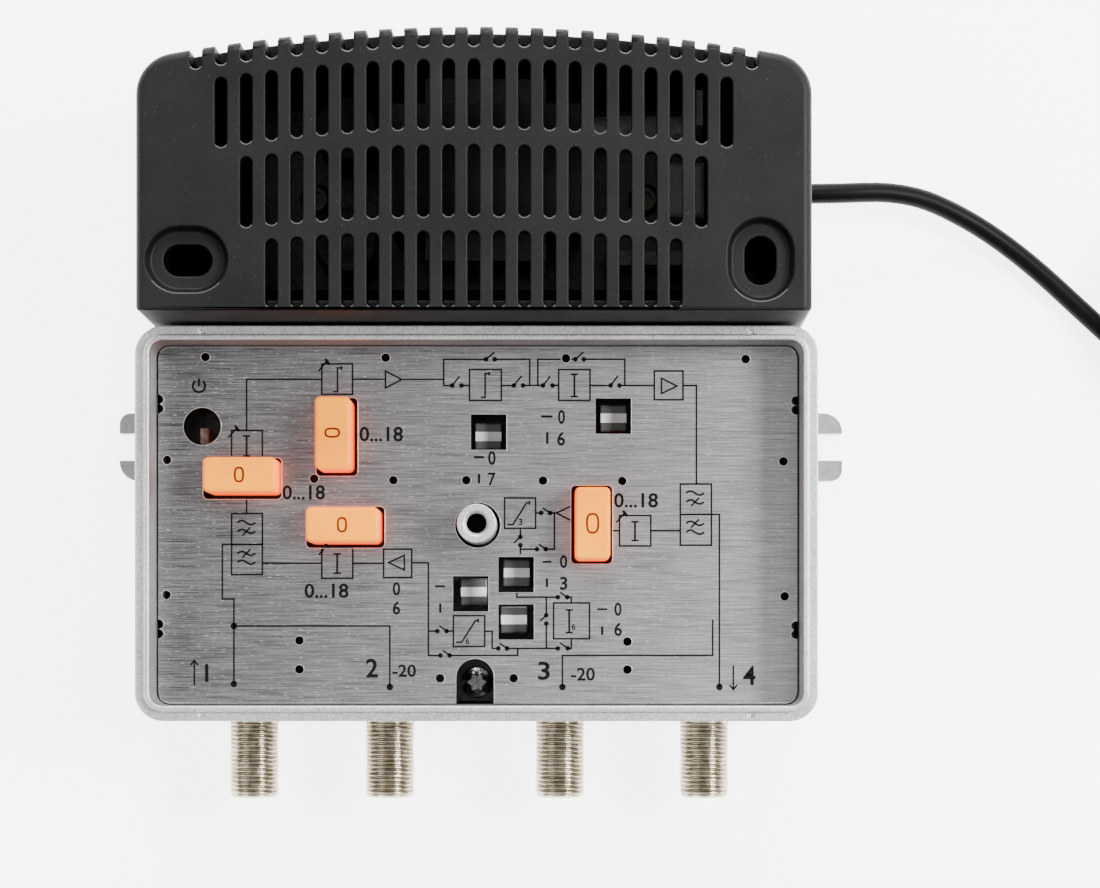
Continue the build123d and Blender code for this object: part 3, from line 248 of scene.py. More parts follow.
class Finish(Sheet):
    """A material with one Principled shader and grains on Object coordinates, kept in `finishes` by its name."""

    def __init__(self, name, colour, roughness, metallic=0.0, fixed=None):
        self.material = bpy.data.materials.new(name)
        self.material.use_nodes = True
        finishes[name] = self.material
        super().__init__(self.material.node_tree)
        self.shader = self.tree.nodes["Principled BSDF"]
        self.give({"Base Color": (*colour, 1.0), "Roughness": roughness, "Metallic": metallic, **(fixed or {})})
        place = self.put("ShaderNodeTexCoord")
        self.spot = place.outputs["Object"]
        self.facing = place.outputs["Normal"]

    def give(self, sockets):
        """Feeds values or links to the shader's sockets."""
        for key, value in sockets.items():
            self.feed(self.shader.inputs[key], value)

    def grain(self, size, stretch=(1, 1, 1), detail=3.0):
        """Noise whose features have that size, drawn out along an axis by its stretch."""
        scale = tuple(1 / (size * long) for long in stretch)
        place = self.put("ShaderNodeMapping", None, {"Vector": self.spot, "Scale": scale})
        sockets = {"Vector": place.outputs[0], "Scale": 1.0, "Detail": detail}
        return Sum(self.tree, self.put("ShaderNodeTexNoise", None, sockets).outputs[0])

    def along(self, axis):
        """The coordinate along X, Y or Z, in metres."""
        return self.parts(self.spot)["XYZ".index(axis)]

    def level(self):
        """1 where the surface faces up, 0 where it is upright, and below 0 underneath."""
        return self.parts(self.facing)[2]

    def upright(self):
        """1 on walls, 0 on what faces up or down."""
        return 1 - self.level().away().between(0.2, 0.6)

    def paint(self, colour, roughness, height=None, depth=0.0, strength=1.0):
        """Feeds what varies to the shader; height times depth is the relief."""
        self.give({"Base Color": colour, "Roughness": roughness})
        if height is not None:
            bump = self.put("ShaderNodeBump", None, {"Height": height, "Distance": depth, "Strength": strength})
            self.give({"Normal": bump.outputs[0]})
        return self.material


print("finish class ready")

# %% [markdown]
# ### Bare metals
# The tray is cast and only blasted, so it has a sandy grain that scatters light. The face plate is rolled sheet,
# brushed along X: its grain is drawn out thirty to seventy times, and painted reflected light makes it paler to
# the right and the front. Plated pieces are smoother and carry a warm or cold tint. The cast flanks, the low ears
# and the bore of the tapped post get little light on the real object, so painted shade makes them a darker grey.

# %% Cast and brushed aluminium
# Painted shade: these set where the post's bore, the low ears and the cast flanks are painted darker, and how dark.
post_y = -18.35 * MM
bore_shade_reach = 1.78 * MM
ear_shade_fade = (4.2 * MM, 5.5 * MM)
flank_shade_grey = (0.1, 0.105, 0.11)
flank_shade_share = 0.5
ear_shade_share = 0.6
pit_level = 0.7


def cast_aluminium():
    """Blasted die-cast aluminium: sandy, with faint clouds, a few pits, and painted shade on its flanks, ears and
    bore.
    """
    finish = Finish("cast_aluminium", grey(0.6), 0.45, 0.75)
    sand = finish.grain(0.42 * MM, detail=4.0)
    pits = finish.grain(0.9 * MM, detail=2.0)
    clouds = finish.grain(14 * MM, detail=2.0)
    tone = (sand.between(0.34, 0.66) * 0.7 + clouds.spread() * 0.3).kept()
    light = finish.mix(tone, grey(0.44), (0.78, 0.78, 0.77))
    upright = finish.upright()
    ear_shade = 1 - finish.along("Z").between(*ear_shade_fade)
    # Painted shade: walls and the low ears are mixed towards a dark grey.
    shaded_flank = finish.mix(upright * flank_shade_share + (1 - upright) * ear_shade * ear_shade_share, light, flank_shade_grey)
    cast = finish.mix((pits > pit_level) * 0.5, shaded_flank, (0.2, 0.19, 0.18))
    # Painted shade: the bore of the tapped post is painted near black.
    x = finish.along("X")
    y = finish.along("Y") - post_y
    colour = finish.mix((x * x + y * y) < bore_shade_reach * bore_shade_reach, cast, grey(0.012))
    return finish.paint(colour, 0.34 + sand * 0.2, sand + pits * 0.6, 0.04 * MM, 0.6)


def brushed_plate():
    """Rolled sheet brushed along X, painted paler to the right and the front as painted reflected light, with a few
    bright nicks.
    """
    finish = Finish("plate_aluminium", grey(0.4), 0.3, 0.9)
    brush = finish.grain(0.12 * MM, (70, 1, 1), detail=2.0)
    wisps = finish.grain(0.26 * MM, (34, 1, 1), detail=2.0)
    nicks = finish.grain(0.12 * MM, (12, 1, 1), detail=1.0)
    clouds = finish.grain(8 * MM, (1.6, 1, 1), detail=2.0)
    # Painted reflected light: the sheet is made paler towards the right and, a little, towards the front.
    right = finish.along("X").between(-55 * MM, 52 * MM)
    front = finish.along("Y").between(10 * MM, -35 * MM)
    strokes = brush.between(0.32, 0.68) * 0.44 + wisps.between(0.36, 0.64) * 0.2
    tone = (strokes + clouds.spread() * 0.1 + right * 0.42 + front * 0.06 - 0.12).kept()
    sheet = finish.mix(tone, (0.05, 0.05, 0.053), (0.5, 0.5, 0.515))
    colour = finish.mix(nicks.between(0.66, 0.74) * 0.8, sheet, (0.9, 0.9, 0.91))
    return finish.paint(colour, 0.26 + wisps * 0.16, brush + wisps * 0.6, 0.015 * MM, 0.5)


cast_aluminium()
brushed_plate()
print("finishes", sorted(finishes))

# %% Plated and plain metals
plating_relief = 0.006 * MM


def plated(name, dark, light, roughness, size, stretch=(1, 1, 1)):
    """Metal that is plated or drawn: a faint mottle of two tints and a light grain."""
    finish = Finish(name, light, roughness, 1.0)
    mottle = finish.grain(size, stretch, detail=3.0)
    fine = finish.grain(size / 6, stretch, detail=1.0)
    colour = finish.mix(mottle.spread(), dark, light)
    return finish.paint(colour, roughness * 0.8 + mottle * roughness * 0.4, fine, plating_relief, 0.4)


plated("nickel", (0.34, 0.28, 0.19), (0.62, 0.55, 0.43), 0.24, 1.6 * MM)
plated("contact_gold", (0.55, 0.36, 0.12), (0.83, 0.6, 0.25), 0.25, 1.2 * MM)
# Painted shade: tin plate, can metal, zinc screws and core steel are painted far darker than their bare metal.
plated("tin_plate", (0.03, 0.026, 0.022), (0.07, 0.062, 0.055), 0.5, 3 * MM)
plated("can_metal", grey(0.012), (0.03, 0.03, 0.029), 0.42, 2 * MM, (1, 1, 3))
plated("zinc_screw", (0.05, 0.045, 0.035), (0.12, 0.11, 0.09), 0.42, 0.8 * MM)
plated("black_screw", (0.12, 0.12, 0.125), (0.3, 0.3, 0.31), 0.22, 0.7 * MM)
plated("core_steel", grey(0.012), (0.03, 0.029, 0.028), 0.5, 0.5 * MM, (40, 40, 1))
print("finishes", len(finishes))

# %% [markdown]
# ### Moulded plastics and the rest
# A moulded skin is never quite even. It has a spark-eroded texture from the mould, a few pale specks of dust and
# rubbed patches that shine a little more. Walls can be turned darker by painted shade. The orange pads are dyed
# through and get a painted glow of their own, stronger on their walls than on their top, which is what reddens
# the bare metal round them.

# %% Moulded plastics


def moulded(name, dark, light, roughness, texture=0.22 * MM, depth=0.03 * MM, specks=0.0, gloss=0.5, walls=0.0):
    """A moulded skin: fine texture, slow changes of gloss, specks of dust, and walls darkened by painted shade."""
    finish = Finish(name, light, roughness, 0.0, {"Specular IOR Level": gloss})
    skin = finish.grain(texture, detail=3.0)
    patches = finish.grain(texture * 60, detail=3.0)
    tone = (skin.spread() * 0.55 + patches.spread() * 0.45).kept()
    colour = finish.mix(tone, dark, light)
    # Painted shade: walls are mixed towards black by the given share.
    if walls:
        colour = finish.mix(finish.upright() * walls, colour, grey(0.0))
    if specks:
        dust = finish.grain(texture * 1.6, detail=1.0)
        pale = tuple(min(1.0, part * 5 + 0.04) for part in light)
        colour = finish.mix(dust.between(0.75, 0.83) * specks, colour, pale)
    return finish.paint(colour, roughness - 0.06 + patches * 0.16, skin, depth, 0.6)


def pad_orange():
    """Dyed plastic with a painted glow, stronger on its walls than on its top."""
    fixed = {
        "Specular IOR Level": 0.12,
        "Emission Strength": 2.0,
        "Subsurface Weight": 0.15,
        "Subsurface Scale": 1.5 * MM,
    }
    finish = Finish("pad_orange", (1.0, 0.33, 0.0), 0.28, 0.0, fixed)
    skin = finish.grain(0.4 * MM, detail=2.0)
    slow = finish.grain(9 * MM, detail=1.0)
    colour = finish.mix(slow.spread(), (0.97, 0.3, 0.0), (1.0, 0.36, 0.0))
    # Painted light: the pad emits light though it is no lamp, most from its walls, and reddens the plate round it.
    painted_glow = finish.mix(finish.level().between(0.1, 0.9), (1.0, 0.07, 0.008), (0.24, 0.04, 0.0))
    finish.give({"Emission Color": painted_glow})
    return finish.paint(colour, 0.26 + slow * 0.12, skin, 0.01 * MM, 0.5)


# The housing's walls get painted shade through walls=0.85.
moulded("black_plastic", (0.006, 0.006, 0.0063), (0.012, 0.012, 0.0125), 0.46, specks=0.5, gloss=0.11, walls=0.85)
moulded("jumper_black", (0.055, 0.054, 0.052), (0.11, 0.108, 0.106), 0.3, 0.3 * MM, 0.02 * MM)
moulded("cord_black", (0.002, 0.002, 0.0021), (0.005, 0.005, 0.0053), 0.42, 0.35 * MM, 0.02 * MM, gloss=0.06)
moulded("tie_black", grey(0.005), grey(0.01), 0.5, 0.3 * MM, gloss=0.11)
moulded("chip_grey", (0.02, 0.02, 0.021), (0.05, 0.05, 0.052), 0.55, 0.15 * MM)
moulded("insulator_white", (0.6, 0.59, 0.55), (0.75, 0.74, 0.7), 0.45, 0.3 * MM)
# Painted shade: the white bobbin is painted near black.
moulded("bobbin_white", grey(0.02), (0.05, 0.05, 0.048), 0.5, 0.3 * MM)
moulded("hook_grey", (0.3, 0.31, 0.32), (0.42, 0.43, 0.44), 0.5, 0.3 * MM)
pad_orange()
print("finishes", len(finishes))

# %% Board, tape, lamp and glass


def circuit_board():
    """Green lacquer over copper tracks that show as a paler, raised net, all painted near black as painted shade."""
    finish = Finish("board_green", (0.02, 0.1, 0.04), 0.35)
    settings = {"feature": "DISTANCE_TO_EDGE", "distance": "CHEBYCHEV"}
    cells = finish.put("ShaderNodeTexVoronoi", settings, {"Vector": finish.spot, "Scale": 1 / (3.4 * MM)})
    tracks = 1 - Sum(finish.tree, cells.outputs[0]).between(0.06, 0.1)
    weave = finish.grain(0.5 * MM, detail=1.0)
    # Painted shade: the green lacquer and its tracks are painted near black.
    base = finish.mix(weave, (0.004, 0.008, 0.005), (0.008, 0.013, 0.008))
    colour = finish.mix(tracks, base, (0.014, 0.028, 0.018))
    return finish.paint(colour, 0.25 + weave * 0.15, tracks + weave * 0.2, 0.03 * MM, 0.7)


def winding_tape():
    """Yellow polyester tape, lapped in bands, painted dark brown as painted shade."""
    finish = Finish("winding_tape", (0.7, 0.5, 0.1), 0.3)
    bands = finish.grain(2.2 * MM, (30, 30, 1), detail=1.0)
    # Painted shade: the yellow tape is painted a dark brown.
    colour = finish.mix(bands.between(0.35, 0.65), (0.035, 0.022, 0.008), (0.07, 0.05, 0.02))
    return finish.paint(colour, 0.28 + bands * 0.15, bands, 0.08 * MM, 0.7)


def lamp_brown():
    """The lamp's body under the window: cloudy brown resin."""
    finish = Finish("lamp_brown", (0.12, 0.07, 0.04), 0.3, 0.0, {"Coat Weight": 0.4, "Coat Roughness": 0.15})
    cloud = finish.grain(1.1 * MM, (1, 1, 2), detail=2.0)
    colour = finish.mix(cloud.spread(), (0.06, 0.035, 0.02), (0.22, 0.15, 0.1))
    return finish.paint(colour, 0.25 + cloud * 0.15)


def fuse_glass():
    """Clear tube with a faint dusty haze."""
    finish = Finish("fuse_glass", (0.85, 0.9, 0.9), 0.08, 0.0, {"Transmission Weight": 0.7, "IOR": 1.5})
    haze = finish.grain(1.5 * MM, detail=2.0)
    colour = finish.mix(haze.spread(), (0.75, 0.8, 0.8), (0.92, 0.95, 0.95))
    return finish.paint(colour, 0.06 + haze * 0.1)


circuit_board()
winding_tape()
lamp_brown()
fuse_glass()

for node in nodes.values():
    for slot in node.material_slots:
        slot.material = finishes[slot.material.name.split(".")[0]]
print("finishes", len(finishes), "on", len(nodes), "CAD nodes")

# %% Ink and paint


def ink(name, dark, light, roughness):
    """Screen-printed ink: thin, slightly uneven."""
    finish = Finish(name, light, roughness, 0.0, {"Specular IOR Level": 0.1})
    wear = finish.grain(0.5 * MM, detail=3.0)
    colour = finish.mix(wear.spread(), dark, light)
    return finish.paint(colour, roughness - 0.08 + wear * 0.16, wear, 0.004 * MM, 0.5)


print_black = ink("print_black", grey(0.001), grey(0.004), 0.6)
stripe_white = ink("stripe_white", (0.85, 0.85, 0.9), (0.95, 0.95, 0.98), 0.4)
pad_red = ink("pad_red", (0.09, 0.006, 0.001), (0.16, 0.012, 0.002), 0.5)
burr_metal = plated("burr_metal", (0.6, 0.59, 0.57), (0.85, 0.84, 0.82), 0.3, 0.4 * MM)
print("inks and burr metal ready")

# %% [markdown]
# ## The cord
# The lead leaves the housing's right side, drops to the table and runs out of the picture. The length that the
# photograph doesn't show is wound into a coil just outside the view, held by a strap, with the plug beside it.
# Real cord bends smoothly, so its line is one NURBS curve: the chosen points of the route, then the coil's turns
# worked out by a loop, then the short tail to the plug.

# %% Cord route
cord_diameter = 3.8 * MM
# The route and the coil are in millimetres, and cord_controls turns them into metres at its end.
route = [
    (42.0, 44.4, 13.0),
    (64.0, 44.4, 13.0),
    (80.5, 45.6, 9.4),
    (93.0, 41.0, 4.4),
    (104.5, 33.4, 2.2),
    (116.5, 22.3, 2.0),
]
coil_middle = (153.0, 24.4)
coil_outer = 26.6
coil_inner = 15.8
coil_layers = 4
turns_per_layer = 2.5
coil_floor = 2.95
layer_rise = 4.28
entry_angle = math.radians(226.0)
points_per_turn = 16
lead_in_length = 11.4
tail_steps = [(12.0, 0.0, 0.0), (13.0, 7.0, -4.0), (12.0, 9.0, -3.5)]
plug_middle_height = 6.85
plug_lead_in = 11.4
climb_turns = 0.5

# A quadratic curve runs inside its control points: by one share at a knot and by another between two knots.
sag_at_knot = math.cos(math.pi / points_per_turn)
sag_between = 0.75 + 0.25 * math.cos(2 * math.pi / points_per_turn)
quadratic_sag = (sag_at_knot + sag_between) / 2
print("turns in the coil", coil_layers * turns_per_layer, "sag", round(quadratic_sag, 4))

# %% Line of the cord


def coil_radius(turn):
    """Radius after a number of turns: in on one layer, out on the next."""
    layer = min(int(turn / turns_per_layer), coil_layers - 1)
    along = (turn - layer * turns_per_layer) / turns_per_layer
    if layer % 2 == 0:
        return coil_outer + (coil_inner - coil_outer) * along
    return coil_inner + (coil_outer - coil_inner) * along


def coil_height(turn):
    """Level layers, with each climb in the half turn where the spiral reverses."""
    height = coil_floor
    for layer in range(1, coil_layers):
        along = min(max((turn - layer * turns_per_layer) / climb_turns + 0.5, 0), 1)
        height += layer_rise * (1 - math.cos(math.pi * along)) / 2
    return height


def coil_point(turn, sag=1.0):
    """A point of the coil, pushed out so that the quadratic curve lies on the turn."""
    angle = entry_angle + turn * 2 * math.pi
    radius = coil_radius(turn) / sag
    x = coil_middle[0] + radius * math.cos(angle)
    y = coil_middle[1] + radius * math.sin(angle)
    return Vector((x, y, coil_height(turn)))


def cord_controls():
    """Every control point of the cord, from the housing to the plug."""
    points = [Vector(point) for point in route]
    way_in = Vector((-math.sin(entry_angle), math.cos(entry_angle), 0.0))
    entry = coil_point(0)
    points += [entry - way_in * lead_in_length, entry]
    total_turns = coil_layers * turns_per_layer
    steps = int(total_turns * points_per_turn)
    points += [coil_point(step / points_per_turn, quadratic_sag) for step in range(1, steps)]
    spot = coil_point(total_turns)
    leaving = entry_angle + total_turns * 2 * math.pi
    way = Vector((-math.sin(leaving), math.cos(leaving), 0.0))
    side = Vector((way.y, -way.x, 0.0))
    points.append(spot)
    for forward, right, rise in tail_steps:
        spot = spot + way * forward + side * right + Vector((0.0, 0.0, rise))
        points.append(spot)
    level = (points[-1] - points[-2]) * Vector((1, 1, 0))
    points[-1] = Vector((spot.x, spot.y, plug_middle_height))
    points.append(points[-1] + level.normalized() * plug_lead_in)
    return [point * MM for point in points]


controls = cord_controls()
print("cord control points", len(controls))

# %% The cord itself
cord_curve = bpy.data.curves.new("mains_lead", "CURVE")
cord_curve.dimensions = "3D"
cord_curve.bevel_depth = cord_diameter / 2
cord_curve.bevel_resolution = 5
cord_curve.resolution_u = 6
cord_curve.use_fill_caps = True
spline = cord_curve.splines.new("NURBS")
spline.points.add(len(controls) - 1)
for knot, place in zip(spline.points, controls):
    knot.co = (*place, 1.0)
spline.order_u = 3
spline.use_endpoint_u = True
mains_lead = holder("mains_lead", cord_curve)
mains_lead.data.materials.append(finishes["cord_black"])
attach(mains_lead, "amplifier")
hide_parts("mains_cord", "cord_coil", "plug_tail")
cord_length = spline.calc_length()
print("cord length", round(cord_length, 3), "m")

# %% [markdown]
# ## Pieces in the frame
# A new piece is built where it belongs, so its object stays at the origin, unturned. Where CAD's edges are too
# sharp to catch light, a merged copy of the node gets rounded edges and takes its place. What repeats, or follows
# a path, is grown by Geometry Nodes from a few points, and the result is kept as a plain mesh.

# %% Making pieces


def settled(shape):
    """The mesh that an object makes with its modifiers, and the object gone."""
    bpy.context.view_layer.update()
    mesh = bpy.data.meshes.new_from_object(shape.evaluated_get(bpy.context.evaluated_depsgraph_get()))
    bpy.data.objects.remove(shape)
    return mesh


def finished(name, mesh, finish, body="amplifier", instead=(), smooth=None):
    """Makes a mesh a piece of the object: its finish, its shading and the body it rides on."""
    mesh.materials.clear()
    mesh.materials.append(finish)
    if smooth is not None:
        for face in mesh.polygons:
            face.use_smooth = True
        mesh.set_sharp_from_angle(angle=math.radians(smooth))
    piece = holder(name, mesh)
    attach(piece, body)
    if instead:
        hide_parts(*instead)
    return piece


print("piece makers ready")

# %% Editing meshes
weld = 0.002 * MM


def shell_of(mesh):
    """A mesh opened for editing, with its doubled points merged and its faces turned outwards."""
    shell = bmesh.new()
    shell.from_mesh(mesh)
    bmesh.ops.remove_doubles(shell, verts=shell.verts, dist=weld)
    bmesh.ops.recalc_face_normals(shell, faces=shell.faces)
    return shell


def mesh_of(shell, name):
    """Closes an edited mesh."""
    bmesh.ops.recalc_face_normals(shell, faces=shell.faces)
    mesh = bpy.data.meshes.new(name)
    shell.to_mesh(mesh)
    shell.free()
    return mesh


def span(corners):
    """The lowest and highest corner of a box round some vertices."""
    return [Vector([end(corner.co[axis] for corner in corners) for axis in range(3)]) for end in (min, max)]


def solids_of(node):
    """The lowest and highest corner of each solid in a CAD node, from left to right and from front to back."""
    shell = shell_of(nodes[node].data)
    left = set(shell.verts)
    solids = []
    while left:
        group = [left.pop()]
        for vert in group:
            for edge in vert.link_edges:
                other = edge.other_vert(vert)
                if other in left:
                    left.remove(other)
                    group.append(other)
        solids.append(span(group))
    shell.free()
    return sorted(solids, key=lambda pair: tuple(pair[0]))


print("mesh editing ready")

# %% Rounding edges
flat_angle = math.radians(0.6)
sharp_angle = math.radians(32)
bevel_steps = 2
face_weight = 100


def rounded(node, radius, above=-1.0):
    """A merged copy of a CAD node with the edges that reach above a height rounded, in the node's place."""
    shell = shell_of(nodes[node].data)
    bmesh.ops.dissolve_limit(shell, angle_limit=flat_angle, verts=shell.verts, edges=shell.edges)
    weights = shell.edges.layers.float.new("bevel_weight_edge")
    for edge in shell.edges:
        bent = len(edge.link_faces) == 2 and edge.calc_face_angle() > sharp_angle
        kept_sharp = bent and max(corner.co.z for corner in edge.verts) <= above
        edge[weights] = float(bent and not kept_sharp)
        edge.smooth = not kept_sharp
    shape = holder(node + "_rounded", mesh_of(shell, node + "_rounded"))
    for face in shape.data.polygons:
        face.use_smooth = True
    bevel = shape.modifiers.new("edges", "BEVEL")
    bevel.width = radius
    bevel.segments = bevel_steps
    bevel.limit_method = "WEIGHT"
    bevel.use_clamp_overlap = False
    flats = shape.modifiers.new("flats", "WEIGHTED_NORMAL")
    flats.weight = face_weight
    flats.keep_sharp = True
    mesh = settled(shape)
    low, high = span(nodes[node].data.vertices)
    for corner in mesh.vertices:
        corner.co = [min(max(value, least), most) for value, least, most in zip(corner.co, low, high)]
    kind = nodes[node].material_slots[0].material
    return finished(node + "_rounded", mesh, kind, nodes[node]["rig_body"], (node,))


print("rounding ready")

# %% Turned solids and points
lobes = 6


def turned(name, rings, steps=60, closed=False):
    """A turned solid about Z from rings of (radius, height, lobe), a lobe being the share that swells six times."""
    shell = bmesh.new()
    loops = []
    for radius, height, lobe in rings:
        loop = []
        for step in range(steps):
            angle = 2 * math.pi * step / steps
            reach = radius * (1 + lobe * math.cos(lobes * angle))
            loop.append(shell.verts.new((reach * math.cos(angle), reach * math.sin(angle), height)))
        loops.append(loop)
    pairs = list(zip(loops, loops[1:])) + ([(loops[-1], loops[0])] if closed else [])
    for lower, upper in pairs:
        for step in range(steps):
            after = (step + 1) % steps
            shell.faces.new((lower[step], lower[after], upper[after], upper[step]))
    if not closed:
        shell.faces.new(loops[0])
        shell.faces.new(loops[-1])
    return mesh_of(shell, name)


def points_mesh(name, places):
    """A mesh of loose points, for a recipe to grow on."""
    mesh = bpy.data.meshes.new(name)
    mesh.from_pydata([tuple(place) for place in places], [], [])
    return mesh


print("turning ready")

# %% Recipes for Geometry Nodes


class Recipe(Sheet):
    """A geometry tree with named inputs, run on a mesh and kept as what it makes."""

    def __init__(self, name, inputs):
        super().__init__(bpy.data.node_groups.new(name, "GeometryNodeTree"))
        face = self.tree.interface
        face.new_socket("Geometry", in_out="INPUT", socket_type="NodeSocketGeometry")
        for title, kind in {**inputs, "Finish": "Material"}.items():
            face.new_socket(title, in_out="INPUT", socket_type="NodeSocket" + kind)
        face.new_socket("Geometry", in_out="OUTPUT", socket_type="NodeSocketGeometry")
        self.given = self.put("NodeGroupInput").outputs

    def number(self, title):
        """An input that takes part in sums."""
        return Sum(self.tree, self.given[title])

    def close(self, geometry):
        """Ends the tree with real geometry that carries its finish."""
        real = self.put("GeometryNodeRealizeInstances", None, {0: geometry})
        sockets = {"Geometry": real.outputs[0], "Material": self.given["Finish"]}
        painted = self.put("GeometryNodeSetMaterial", None, sockets)
        self.put("NodeGroupOutput", None, {0: painted.outputs[0]})
        return self

    def on_points(self, piece):
        """Closes the tree with copies of a piece on its points, turned alike."""
        sockets = {"Points": self.given["Geometry"], "Instance": piece, "Rotation": self.given["Turn"]}
        return self.close(self.put("GeometryNodeInstanceOnPoints", None, sockets).outputs[0])

    def run(self, mesh, finish, values):
        """The mesh that the tree makes, with its inputs set by their sockets' names."""
        shape = holder(self.tree.name, mesh)
        modifier = shape.modifiers.new(self.tree.name, "NODES")
        modifier.node_group = self.tree
        for item in self.tree.interface.items_tree:
            value = {**values, "Finish": finish}.get(item.name)
            if item.in_out == "INPUT" and value is not None:
                modifier[item.identifier] = value
        return settled(shape)


print("recipe class ready")

# %% Copies and threads
turn_steps = 44


def copies_recipe():
    """Copies of one object on points, turned alike."""
    tree = Recipe("copies_on_points", {"Piece": "Object", "Turn": "Vector"})
    piece = tree.put("GeometryNodeObjectInfo", None, {"Object": tree.given["Piece"]})
    return tree.on_points(piece.outputs["Geometry"])


def thread_recipe():
    """A screw thread on each point: a helix about Z swept with a ridge, then turned."""
    numbers = dict.fromkeys(("Pitch", "Length", "Radius", "Ridge"), "Float")
    tree = Recipe("thread", {**numbers, "Turn": "Vector"})
    spiral = {
        "Resolution": turn_steps,
        "Rotations": tree.number("Length") / tree.number("Pitch"),
        "Start Radius": tree.number("Radius"),
        "End Radius": tree.number("Radius"),
        "Height": tree.number("Length"),
    }
    helix = tree.put("GeometryNodeCurveSpiral", None, spiral).outputs[0]
    level = tree.put("GeometryNodeSetCurveNormal", {"mode": "Z_UP"}, {0: helix}).outputs[0]
    ridge = tree.put("GeometryNodeCurvePrimitiveCircle", None, {"Resolution": 4, "Radius": tree.number("Ridge")})
    swept = tree.put("GeometryNodeCurveToMesh", None, {0: level, 1: ridge.outputs[0], "Fill Caps": True})
    return tree.on_points(swept.outputs[0])


copies = copies_recipe()
thread = thread_recipe()
print("recipes", copies.tree.name, "and", thread.tree.name)

# %% Beads on edges
bead_angle = 0.8
least_rise = 0.3
bead_sides = 6


def burr_recipe():
    """A thin bead on every sharp edge above a height, inside the object's sides and turned far enough to +Y."""
    tree = Recipe("burr", dict.fromkeys(("Radius", "Inset", "Above", "Half", "Facing"), "Float"))
    corner = Sum(tree.tree, tree.put("GeometryNodeInputMeshEdgeAngle").outputs[0]) > bead_angle
    lean = tree.put("GeometryNodeInputNormal").outputs[0]
    x, _, z = tree.parts(tree.put("GeometryNodeInputPosition").outputs[0])
    _, back, rise = tree.parts(lean)
    inside = (x * x) < tree.number("Half") * tree.number("Half")
    turned_well = (back > tree.number("Facing")) * (rise > least_rise)
    chosen = corner * (z > tree.number("Above")) * inside * turned_well
    depth = tree.put("ShaderNodeVectorMath", {"operation": "SCALE"}, {0: lean, "Scale": tree.number("Inset") * -1.0})
    sunk = tree.put("GeometryNodeSetPosition", None, {0: tree.given["Geometry"], "Offset": depth.outputs[0]})
    path = tree.put("GeometryNodeMeshToCurve", None, {"Mesh": sunk.outputs[0], "Selection": chosen})
    ring = {"Resolution": bead_sides, "Radius": tree.number("Radius")}
    bead = tree.put("GeometryNodeCurvePrimitiveCircle", None, ring)
    return tree.close(tree.put("GeometryNodeCurveToMesh", None, {0: path.outputs[0], 1: bead.outputs[0]}).outputs[0])


burr = burr_recipe()
print("recipe", burr.tree.name)

# %% Running the recipes


def stamped(name, stamp, places, finish, turn=(0.0, 0.0, 0.0)):
    """A mesh copied onto each place and kept as one mesh."""
    piece = holder("stamp", stamp)
    made = copies.run(points_mesh(name, places), finish, {"Piece": piece, "Turn": turn})
    bpy.data.objects.remove(piece)
    return made


def beads_on(node, name, finish, sizes):
    """Beads along the chosen edges of a CAD node, as a piece of their own."""
    beads = burr.run(mesh_of(shell_of(nodes[node].data), name), finish, sizes)
    print(name, "faces", len(beads.polygons))
    return finished(name, beads, finish, smooth=60)


print("stamps and beads ready")

# %% [markdown]
# ## Rounded edges
# Moulded and cast edges are never quite sharp, and the rounding is what catches the light along the housing's top
# and makes the tray's lip shine. The tray's ears stay sharp, because their webs are too thin to be rounded.

# %% Rounded copies
ear_top = 5 * MM
cap_radius = 0.16 * MM
for node, radius in {"tray": 0.25, "power_cover": 0.3, "power_led": 0.2}.items():
    rounded(node, radius * MM, ear_top if node == "tray" else -1.0)
for name in [name for name in nodes if name.startswith("jumper_") and name.endswith("_cap")]:
    rounded(name, cap_radius)

# %% [markdown]
# ## Threads and screws
# Each coaxial connector is a turned core with a real thread wound on it: a helix at 32 turns to the inch. The
# board screws have a domed head with a six-lobed recess, turned in one go from rings that swell six times.

# %% Threaded connectors
barrels = solids_of("connector_barrels")
barrel_low, barrel_high = barrels[0]
barrel_radius = (barrel_high.z - barrel_low.z) / 2
barrel_length = barrel_high.y - barrel_low.y
tray_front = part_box("tray")[0].y
thread_pitch = 0.794 * MM
thread_depth = 0.37 * MM
thread_gap = 0.25 * MM
bore_radius = 3.5 * MM
shank_radius = 4.2 * MM
shank_length = 2.0 * MM
tip_chamfer = 0.35 * MM
root_radius = barrel_radius - thread_depth
thread_start = barrel_high.y - tray_front + thread_gap
side_turn = (math.pi / 2, 0.0, 0.0)

core_rings = [
    (shank_radius, 0.0, 0.0),
    (shank_radius, shank_length, 0.0),
    (barrel_radius, shank_length, 0.0),
    (barrel_radius, thread_start, 0.0),
    (root_radius, thread_start + thread_gap, 0.0),
    (root_radius, barrel_length - tip_chamfer, 0.0),
    (root_radius - tip_chamfer, barrel_length, 0.0),
    (bore_radius, barrel_length, 0.0),
    (bore_radius, 0.0, 0.0),
]
backs = [((low.x + high.x) / 2, high.y, (low.z + high.z) / 2) for low, high in barrels]
core = turned("barrel_core", core_rings, closed=True)
cores = stamped("barrel_backs", core, backs, finishes["nickel"], side_turn)
finished("barrel_cores", cores, finishes["nickel"], instead=("connector_barrels",), smooth=35)

